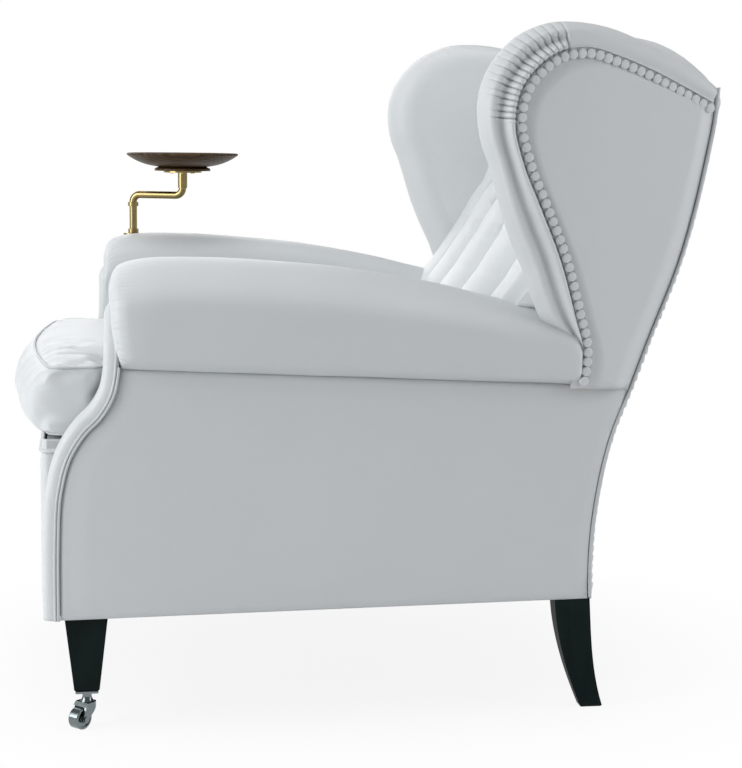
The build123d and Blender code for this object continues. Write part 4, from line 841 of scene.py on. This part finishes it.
def nail_head():
    """A covered nail of radius and height one: a flat face with a rounded bevel."""
    profile = ((1.0, -0.5), (1.0, 0.40), (0.98, 0.66), (0.90, 0.90), (0.82, 0.96), (0.30, 0.98))
    turn = full_turn(16)
    rings = [np.column_stack([radius * np.cos(turn), radius * np.sin(turn), np.full(16, high)]) / MM
             for radius, high in profile]
    return loop_skin("nail_head", rings, nail_hide)


NAIL_TREE = nail_tree()
NAIL_HEAD = nail_head()


def nail_row(name, path, outward, height=0.0046):
    """Sets nails along a path given in millimetres and returns them as a plain mesh."""
    curve = bpy.data.curves.new(name + "_row", "CURVE")
    curve.dimensions = "3D"
    run = curve.splines.new("POLY")
    run.points.add(len(path) - 1)
    for point, place in zip(run.points, path * MM):
        point.co = (*place, 1)
    holder = link_object(name + "_row", curve)
    setting = holder.modifiers.new("nails", "NODES")
    setting.node_group = NAIL_TREE
    values = {"Head": NAIL_HEAD, "Pitch": 0.0136, "Head Radius": 0.0070, "Head Height": height,
              "Outward": outward, "Finish": nail_hide}
    for item in NAIL_TREE.interface.items_tree:
        if item.in_out == "INPUT" and item.name in values:
            setting[item.identifier] = values[item.name]
    mesh = worked_mesh(holder)
    mesh.name = name
    bpy.data.objects.remove(holder)
    bpy.data.curves.remove(curve)
    return link_object(name, mesh)


wing_row = on_wall(wing_half, smooth_path(NAIL_EDGE, 400), 1.2)
both(nail_row("wing_nails", wing_row, (0.9723, 0.2337, 0.0)), "wing_nails", "wing_nails")

# Up the rear corner of the side and the wing, just inside the outside back's edge.
rear_heights = np.linspace(178, 874, 300)
rear_y = edge_y(BACK_EDGE, rear_heights)
rear_row = np.column_stack([rear_half(rear_y, rear_heights) - 17, rear_y + 3.0, rear_heights])
both(nail_row("back_nails", rear_row, (0.12, 0.96, -0.16), height=0.0032), "back_nails")


# The deep-buttoned back

BUTTON_ROWS = (691, 776.3, 861.6)
DIAMOND_HIGH = 170.6


def fold(away, width, from_button, reach):
    """Depth of a fold at a distance from its line, deepest near its buttons."""
    return np.exp(-away / width) * (0.42 + 0.58 * np.exp(-(from_button / reach) ** 2))


def pipe(share):
    """Height lost across a stuffed pipe of unit width, from its middle to its sides."""
    return 1 - np.sqrt(np.clip(1 - (1 - 2 * share) ** 2, 0, 1))


def tufting(quarter, z):
    """Height lost to the folds and buttons at a place counted in quarter diamonds across."""
    low, high = BUTTON_ROWS[0], BUTTON_ROWS[-1]
    a, b = (quarter - 2) / 4, (z - low) / DIAMOND_HIGH
    u, v = np.abs((a + b + 0.5) % 1 - 0.5), np.abs((a - b + 0.5) % 1 - 0.5)
    diamond = np.maximum(fold(u, 0.085, v, 0.20), fold(v, 0.085, u, 0.20))
    diamond = diamond + 0.30 * pipe(np.minimum(u, v))
    straight = np.abs((a + 0.5) % 1 - 0.5)
    beyond = np.clip(np.where(z > high, z - high, low - z), 0, 999)
    pleat = fold(straight, 0.075, beyond, 40) + 0.58 * pipe(straight)
    return lerp(diamond, pleat, np.clip(ease((z - high) / 30) + ease((low - z) / 30), 0, 1))


def back_face(x_share, z):
    """Depth of the stuffed back's front at a share of its half width."""
    edge = ease((1 - np.abs(x_share)) / 0.06)
    folds = tufting(x_share * 9, z) * edge * ease((z - 500) / 60)
    return np.interp(z, *BACK_FRONT) + 26 * x_share**2 - 8 + 50 * folds + 22 * (1 - edge)


def back_half(z):
    """Half width of the stuffed back: between the arms below, between the wings above."""
    wide = wing_half(np.interp(z, [403, 622, 960], [176, 226, 398])) - 60
    return lerp(249.0, wide, ease((z - 540) / 50))


def back_cushion():
    share, z = np.meshgrid(np.linspace(-1, 1, 330), np.linspace(404, 952, 330))
    x, y = back_half(z) * share, back_face(share, z)
    top = 955 - 60 * (x / BACK_TOP_HALF) ** 2
    z = np.where(z > 870, lerp(870, top, (z - 870) / 82), z)
    rear_y = np.interp(z, [403, 500, 662, 800, 960], [292, 330, 387, 418, 436])
    front = np.stack([x, y, z], axis=-1)
    rear = np.stack([x, np.maximum(rear_y, y + 12), z], axis=-1)
    return slab("tufted_back", front, rear, pale_hide)


seat(back_cushion(), "back_pad")


def back_button_mesh():
    """Covered buttons at the deepest points of the folds."""
    points, faces = [], []
    rings, sides = 7, 20
    turn = full_turn(sides)
    for row, z in enumerate(BUTTON_ROWS):
        first = 0 if row == 1 else 2
        for quarter in range(-8, 9):
            if (quarter - first) % 4:
                continue
            share = quarter / 9
            x, y = back_half(z) * share, back_face(share, z) + 3
            start = len(points)
            for k in range(rings + 1):
                angle = k / rings * pi / 2
                radius = 11 * cos(angle) ** 0.8 if k < rings else 0.01
                depth = y + 3 - 9 * sin(angle)
                lift = (y - depth) * 0.25
                points += [(x + radius * cos(t), depth, z + radius * sin(t) + lift) for t in turn]
            faces += grid_faces(rings + 1, sides, closed=True, first=start)
            faces.append(tuple(start + j for j in range(sides))[::-1])
            faces.append(tuple(start + rings * sides + j for j in range(sides)))
    return piece("back_button_heads", points, faces, nail_hide)


seat(back_button_mesh(), "back_buttons")


def crest():
    """The roll over the arched top of the back, turned down over the outside back's top."""
    rings = []
    for x in np.linspace(-312, 312, 90):
        share = x / BACK_TOP_HALF
        top = crest_z(x)
        low = top - 46
        rear = 507 + 5 * (1 - share**2)
        front = np.interp(low, *BACK_FRONT) + 26 * share**2
        ridge = lerp(front, rear, 0.55)
        loop = smooth_path([
            (rear - 2, low - 6), (rear + 1, low + 8), (lerp(ridge, rear, 0.80), lerp(low, top, 0.72)),
            (ridge, top), (lerp(ridge, front, 0.76), lerp(low, top, 0.78)), (front - 6, low + 14),
            (front - 3, low - 4), (front + 8, low - 12),
        ], 40)
        pleat = 1.2 * (1 - abs(sin(pi * (x / 600 + 0.5) * 22))) ** 2
        loop[20:, 0] += pleat * np.linspace(0, 1, 20) * 2.5
        base = [(lerp(front, rear, 0.4), low - 8), (lerp(front, rear, 0.8), low - 2)]
        loop = np.vstack([loop, base])
        rings.append(np.column_stack([np.full(len(loop), x), loop]))
    return loop_skin("crest_roll_cover", rings, pale_hide)


seat(crest(), "crest_roll")


def outside_back():
    """The plain outside back: a shallow bow between the two nailed edges."""
    share, z = np.meshgrid(np.linspace(-1, 1, 80), np.linspace(BODY_LOW, 897, 110))
    y = edge_y(BACK_EDGE, z)
    x = (rear_half(y, z) - 2) * share
    top = crest_z(x) - 47 + 29 * ease((np.abs(x) - 288) / 22)
    z = np.where(z > 700, lerp(700, np.maximum(top, 700), (z - 700) / 197), z)
    from_side, from_low = 1 - np.abs(share), z - BODY_LOW
    proud = 4 + 5 * (1 - share**2) + 3 * ease(from_side / 0.15) * ease(from_low / 60)
    proud = proud - 3.5 * turn_in(from_low, 10) - 3 * turn_in(from_side * 320, 6)
    proud = proud + 0.6 * waviness(x, z, 150, 9)
    outer, inner = (np.stack([x, y + out, z], axis=-1) for out in (proud, 0.5))
    return slab("outside_back", outer, inner, pale_hide)


seat(outside_back(), "outside_back_panel")

crest_x = np.linspace(-284, 284, 200)
crest_y = 509 + 5 * (1 - (crest_x / BACK_TOP_HALF) ** 2)
crest_row = np.column_stack([crest_x, crest_y, crest_z(crest_x) - 55])
seat(nail_row("crest_nails", crest_row, (0.0, 1.0, 0.0)))
bpy.data.objects.remove(NAIL_HEAD)


# Front under the cushion

def front_apron():
    """The border under the cushion, turned round both front corners to the arm fronts."""
    half, front, radius = 336.0, -454.0, 11.0
    turn = np.linspace(0, pi / 2, 10)
    corner = np.column_stack([
        half - radius + radius * np.sin(turn), front + radius - radius * np.cos(turn)])
    side = np.column_stack([np.full(14, half), np.linspace(front + radius, -392, 15)[1:]])
    right = np.vstack([corner, side])
    loop = np.vstack([right[::-1] * (-1, 1), right])
    last = length_along(loop)[-1]
    even = np.unique(np.r_[
        np.linspace(0, 90, 60), np.linspace(90, last - 90, 60), np.linspace(last - 90, last, 60)])
    plan = read_even(loop, even)
    along = np.gradient(plan, even, axis=0)
    normal = unit(np.stack([along[:, 1], -along[:, 0]], axis=1))
    z = np.r_[
        np.linspace(BODY_LOW, 382, 36, endpoint=False), np.linspace(382, 396, 60),
        np.linspace(397, 405, 5)][:, None]
    middle = ease(np.minimum(even, last - even) / 120)[None]
    out = 3.4 * np.sqrt(np.clip(1 - ((z - 389) / 2.6) ** 2, 0, 1))
    out = out - 1.4 * ease((z - 390) / 3) - 1.2 * np.exp(-((z - 385.6) / 1.2) ** 2)
    out = out + 2.2 * ease((z - BODY_LOW) / 30) * ease((386 - z) / 20) * middle
    out = (out - 3 * turn_in(z - BODY_LOW, 10))[..., None]
    level = np.broadcast_to(z[..., None], out.shape)
    outer = np.concatenate([plan + normal * out, level], axis=-1)
    inner = np.concatenate([plan - normal * 5.0 + 0 * out, level], axis=-1)
    return slab("front_apron", outer, inner, pale_hide)


seat(front_apron(), "front_border")


# The loose seat cushion

SEAM_TOP, SEAM_LOW = 503, 409
EAR_HALF, EAR_FRONT_Y, EAR_BACK_Y = 331, -442, -366
# The cushion between the arms: half its width, and its back.
INNER_HALF, INNER_BACK_Y = 247, 140


def cushion_outline(step):
    """The T of the cushion's seam, seen from above, with rounded corners and a bowed front."""
    right = [(EAR_HALF, EAR_FRONT_Y, 18), (EAR_HALF, EAR_BACK_Y - 2, 16), (INNER_HALF, EAR_BACK_Y, 8),
             (INNER_HALF, INNER_BACK_Y, 26)]
    left = [(-x, y, radius) for x, y, radius in right[::-1]]
    corners = left[-1:] + right + left[:-1]
    places = []
    for i, (x, y, radius) in enumerate(corners):
        here = np.array([x, y], float)
        before = np.array(corners[i - 1][:2], float) - here
        after = np.array(corners[(i + 1) % len(corners)][:2], float) - here
        start = here + before / np.linalg.norm(before) * radius
        end = here + after / np.linalg.norm(after) * radius
        for t in np.linspace(0, 1, 9):
            places.append((1 - t) ** 2 * start + 2 * t * (1 - t) * here + t**2 * end)
    loop = np.array(places + places[:1])
    last = length_along(loop)[-1]
    loop = read_even(loop, np.linspace(0, last, int(last / step), endpoint=False))
    bow = 28 * np.clip(1 - (loop[:, 0] / EAR_HALF) ** 2, 0, 1)
    loop[:, 1] -= bow * (loop[:, 1] < -423)
    return loop


def cushion_blank():
    """The cut of the cushion before it is filled: flat panels and a straight boxing."""
    loop = cushion_outline(6.0)
    count, rows = len(loop), 12
    points = [(x, y, z) for z in np.linspace(SEAM_LOW, SEAM_TOP, rows) for x, y in loop]
    faces = grid_faces(rows, count, closed=True)
    faces += [tuple(range((rows - 1) * count, rows * count)), tuple(range(count))[::-1]]
    return piece("cushion_blank", points, faces, pale_hide)


def even_cushion(size):
    """The cut in an even mesh, and its places in millimetres."""
    blank = cushion_blank()
    voxels = blank.modifiers.new("voxels", "REMESH")
    voxels.mode = "VOXEL"
    voxels.voxel_size = size
    pillow = link_object("cushion_filling", worked_mesh(blank))
    bpy.data.objects.remove(blank)
    return pillow, np.array([v.co for v in pillow.data.vertices]) / MM


def gap_to_seam(places):
    """Distance from each place to the cushion's seam, seen from above."""
    loop = cushion_outline(3.0)
    block = 4000
    return np.concatenate([
        np.sqrt(((places[k:k + block, None, :2] - loop) ** 2).sum(-1)).min(axis=1)
        for k in range(0, len(places), block)])


def fill_cushion(pillow, start, edge):
    """Fills the cushion as cloth held at its two seams, and caps how far each place moves."""
    at_seam = (np.abs(start[:, 2] - SEAM_TOP) < 4) | (np.abs(start[:, 2] - SEAM_LOW) < 4)
    held = ((edge < 7) & at_seam) | (start[:, 2] < SEAM_LOW + 3)
    pins = pillow.vertex_groups.new(name="seams")
    pins.add(np.nonzero(held)[0].tolist(), 1.0, "REPLACE")
    cloth = pillow.modifiers.new("filling", "CLOTH")
    hold = cloth.settings
    hold.vertex_group_mass = "seams"
    hold.use_pressure = True
    hold.uniform_pressure_force = 4.0
    hold.effector_weights.gravity = 0
    hold.tension_stiffness = 12
    hold.compression_stiffness = 12
    hold.bending_stiffness = 1.2
    hold.shrink_min = -0.035
    hold.quality = 6
    cloth.point_cache.frame_start = 1
    cloth.point_cache.frame_end = 20
    for number in range(1, 21):
        scene.frame_set(number)
    seen = pillow.evaluated_get(bpy.context.evaluated_depsgraph_get())
    shift = np.array([v.co for v in seen.data.vertices]) / MM - start
    scene.frame_set(1)
    far = np.linalg.norm(shift, axis=1)
    limit = 26.0
    return start + shift * (limit * np.tanh(far / limit) / np.maximum(far, 1e-6))[:, None]


def seat_cushion():
    pillow, start = even_cushion(0.0055)
    edge = gap_to_seam(start)
    places = fill_cushion(pillow, start, edge)
    upper = start[:, 2] > SEAM_TOP - 3
    over = np.clip(places[:, 2] - SEAM_TOP, 0, 99)
    places[:, 2] -= upper * 0.16 * over * ease(edge / 90)
    places[:, 2] += upper * 6 * ease(edge / 26) * (1 - 0.6 * ease(edge / 150))
    places[:, 2] -= upper * 3.5 * ease(-start[:, 0] / EAR_HALF)
    box = (start[:, 2] > SEAM_LOW + 3) & ~upper
    swell = np.sin(pi * np.clip((start[:, 2] - SEAM_LOW) / (SEAM_TOP - SEAM_LOW), 0, 1))
    forward = (19 + 8 * (start[:, 0] / EAR_HALF) ** 2) * ease((-405 - start[:, 1]) / 36)
    places[:, 1] -= box * forward * swell**0.8
    # Kept clear of the arm fronts, the arms, the back and the deck.
    half = np.where(start[:, 1] > EAR_BACK_Y, INNER_HALF + 1.5, EAR_HALF + 7)
    places[:, 0] = np.clip(places[:, 0], -half, half)
    places[:, 1] = np.clip(places[:, 1], -506, INNER_BACK_Y + 7)
    places[:, 2] = np.maximum(places[:, 2], 404.0)
    pillow.data.vertices.foreach_set("co", (places * MM).astype(np.float32).ravel())
    pillow.modifiers.clear()
    pillow.data.update()
    finer = pillow.modifiers.new("finer", "SUBSURF")
    finer.levels = finer.render_levels = 1
    mesh = worked_mesh(pillow)
    bpy.data.objects.remove(pillow)
    mesh.shade_smooth()
    mesh.materials.clear()
    mesh.materials.append(pale_hide)
    return link_object("seat_cushion_cover", mesh)


cushion = seat(seat_cushion(), "seat_cushion", body="cushion")


def cushion_piping(level, name):
    """Piping along a seam of the filled cushion, laid on its surface."""
    built = bmesh.new()
    built.from_mesh(cushion.data)
    tree = BVHTree.FromBMesh(built)
    places = []
    for x, y in cushion_outline(5.0):
        spot = tree.find_nearest(Vector((x, y, level)) * MM)[0] / MM
        places.append((spot.x, spot.y, lerp(spot.z, level, 0.6)))
    built.free()
    path = np.array(places)
    for turn in range(3):
        path = (np.roll(path, 1, axis=0) + 2 * path + np.roll(path, -1, axis=0)) / 4
    along = path[:, :2] - np.roll(path[:, :2], 2, axis=0)
    outward = np.column_stack([along[:, 1], -along[:, 0]])
    path[:, :2] += unit(outward) * 0.6
    inside = INNER_HALF - 0.5
    path[:, 0] = np.where(path[:, 1] > -360, np.clip(path[:, 0], -inside, inside), path[:, 0])
    return tube(name, np.vstack([path, path[:2]]), 1.7, welt_hide)


for level, label in ((SEAM_TOP + 1.5, "cushion_top_piping"), (SEAM_LOW + 1.5, "cushion_low_piping")):
    seat(cushion_piping(level, label), body="cushion")


# Floor, light and camera

def blend(tree, share, first, second):
    node = tree.nodes.new("ShaderNodeMixShader")
    for socket, value in zip(node.inputs, (share, first.outputs[0], second.outputs[0])):
        feed(socket, value)
    return node.outputs[0]


def floor():
    """A pale floor that fades to white away from the chair and keeps its shadow."""
    material, tree = new_material("pale_floor")
    coords = object_place(tree)
    tone = mix_colour(noise(coords, 1.5, 2.0), (0.86, 0.87, 0.88, 1.0), (0.89, 0.895, 0.90, 1.0))
    shader = add(tree, "ShaderNodeBsdfPrincipled", Base_Color=tone, Roughness=0.9)
    glow = add(tree, "ShaderNodeEmission", Color=(1.0, 1.0, 1.0, 1.0), Strength=1.0)
    ray = tree.nodes.new("ShaderNodeLightPath").outputs
    seen = math_node("MAXIMUM", ray["Is Camera Ray"], ray["Is Glossy Ray"])
    length = tree.nodes.new("ShaderNodeVectorMath")
    length.operation = "LENGTH"
    feed(length.inputs[0], object_place(tree, (1.0, 0.85, 0.0)))
    away = tree.nodes.new("ShaderNodeMapRange")
    away.interpolation_type = "SMOOTHSTEP"
    fill(away, Value=length.outputs["Value"], From_Min=0.30, From_Max=0.80, To_Min=0.88, To_Max=1.0)
    share = math_node("MULTIPLY", seen, away.outputs[0])
    add(tree, "ShaderNodeOutputMaterial", Surface=blend(tree, share, shader, glow))
    mesh = bpy.data.meshes.new("floor")
    mesh.from_pydata([(-30, -30, 0), (30, -30, 0), (30, 30, 0), (-30, 30, 0)], [], [(0, 1, 2, 3)])
    mesh.materials.append(material)
    link_object("floor", mesh)


floor()

world = bpy.data.worlds.new("studio")
scene.world = world
world.use_nodes = True
sky = world.node_tree
sky.nodes.clear()
plain = add(sky, "ShaderNodeBackground", Color=(0.97, 0.985, 1.0, 1.0), Strength=0.30)
white = add(sky, "ShaderNodeBackground", Color=(1.0, 1.0, 1.0, 1.0), Strength=1.0)
camera_ray = sky.nodes.new("ShaderNodeLightPath").outputs["Is Camera Ray"]
add(sky, "ShaderNodeOutputWorld", Surface=blend(sky, camera_ray, plain, white))

# Soft lamps: name, place, what each one is aimed at, size and power.
LAMPS = [
    ("overhead", (-0.1, -0.3, 3.2), (0, 0, 0.5), (2.4, 2.4), 27),
    ("front_window", (1.0, -2.95, 1.5), (0, 0, 0.6), (2.0, 2.2), 69),
    ("back_window", (1.1, 3.0, 1.5), (0.2, 0.2, 0.6), (2.0, 2.2), 37),
    ("far_window", (-3.0, -0.6, 1.8), (0, 0, 0.6), (2.4, 2.4), 30),
]
for name, place, aim, size, power in LAMPS:
    lamp = bpy.data.lights.new(name, "AREA")
    lamp.shape = "RECTANGLE"
    lamp.size, lamp.size_y = size
    lamp.energy = power
    made = link_object(name, lamp)
    made.location = place
    made.rotation_euler = (Vector(aim) - Vector(place)).to_track_quat("-Z", "Y").to_euler()

scene.view_settings.view_transform = "Standard"

# The camera looks along -X from the chair's left, turned, tipped down and rolled a little.
TURN, PITCH, ROLL = radians(8.849), radians(7.65), radians(0.6)
ahead = Vector((-cos(TURN) * cos(PITCH), sin(TURN) * cos(PITCH), -sin(PITCH)))
right = Vector((sin(TURN), cos(TURN), 0.0))
down = ahead.cross(right)
level_right = cos(ROLL) * right - sin(ROLL) * down
level_down = sin(ROLL) * right + cos(ROLL) * down
camera = bpy.data.cameras.new("camera")
camera.sensor_fit = "VERTICAL"
camera.sensor_width = camera.sensor_height = 36
camera.lens = 1850 / 768 * 36
camera.clip_end = 100
eye = link_object("camera", camera)
turned = Matrix((level_right, -level_down, -ahead)).transposed()
eye.matrix_world = Matrix.Translation((2.8777, -0.3926, 0.823)) @ turned.to_4x4()
scene.camera = eye
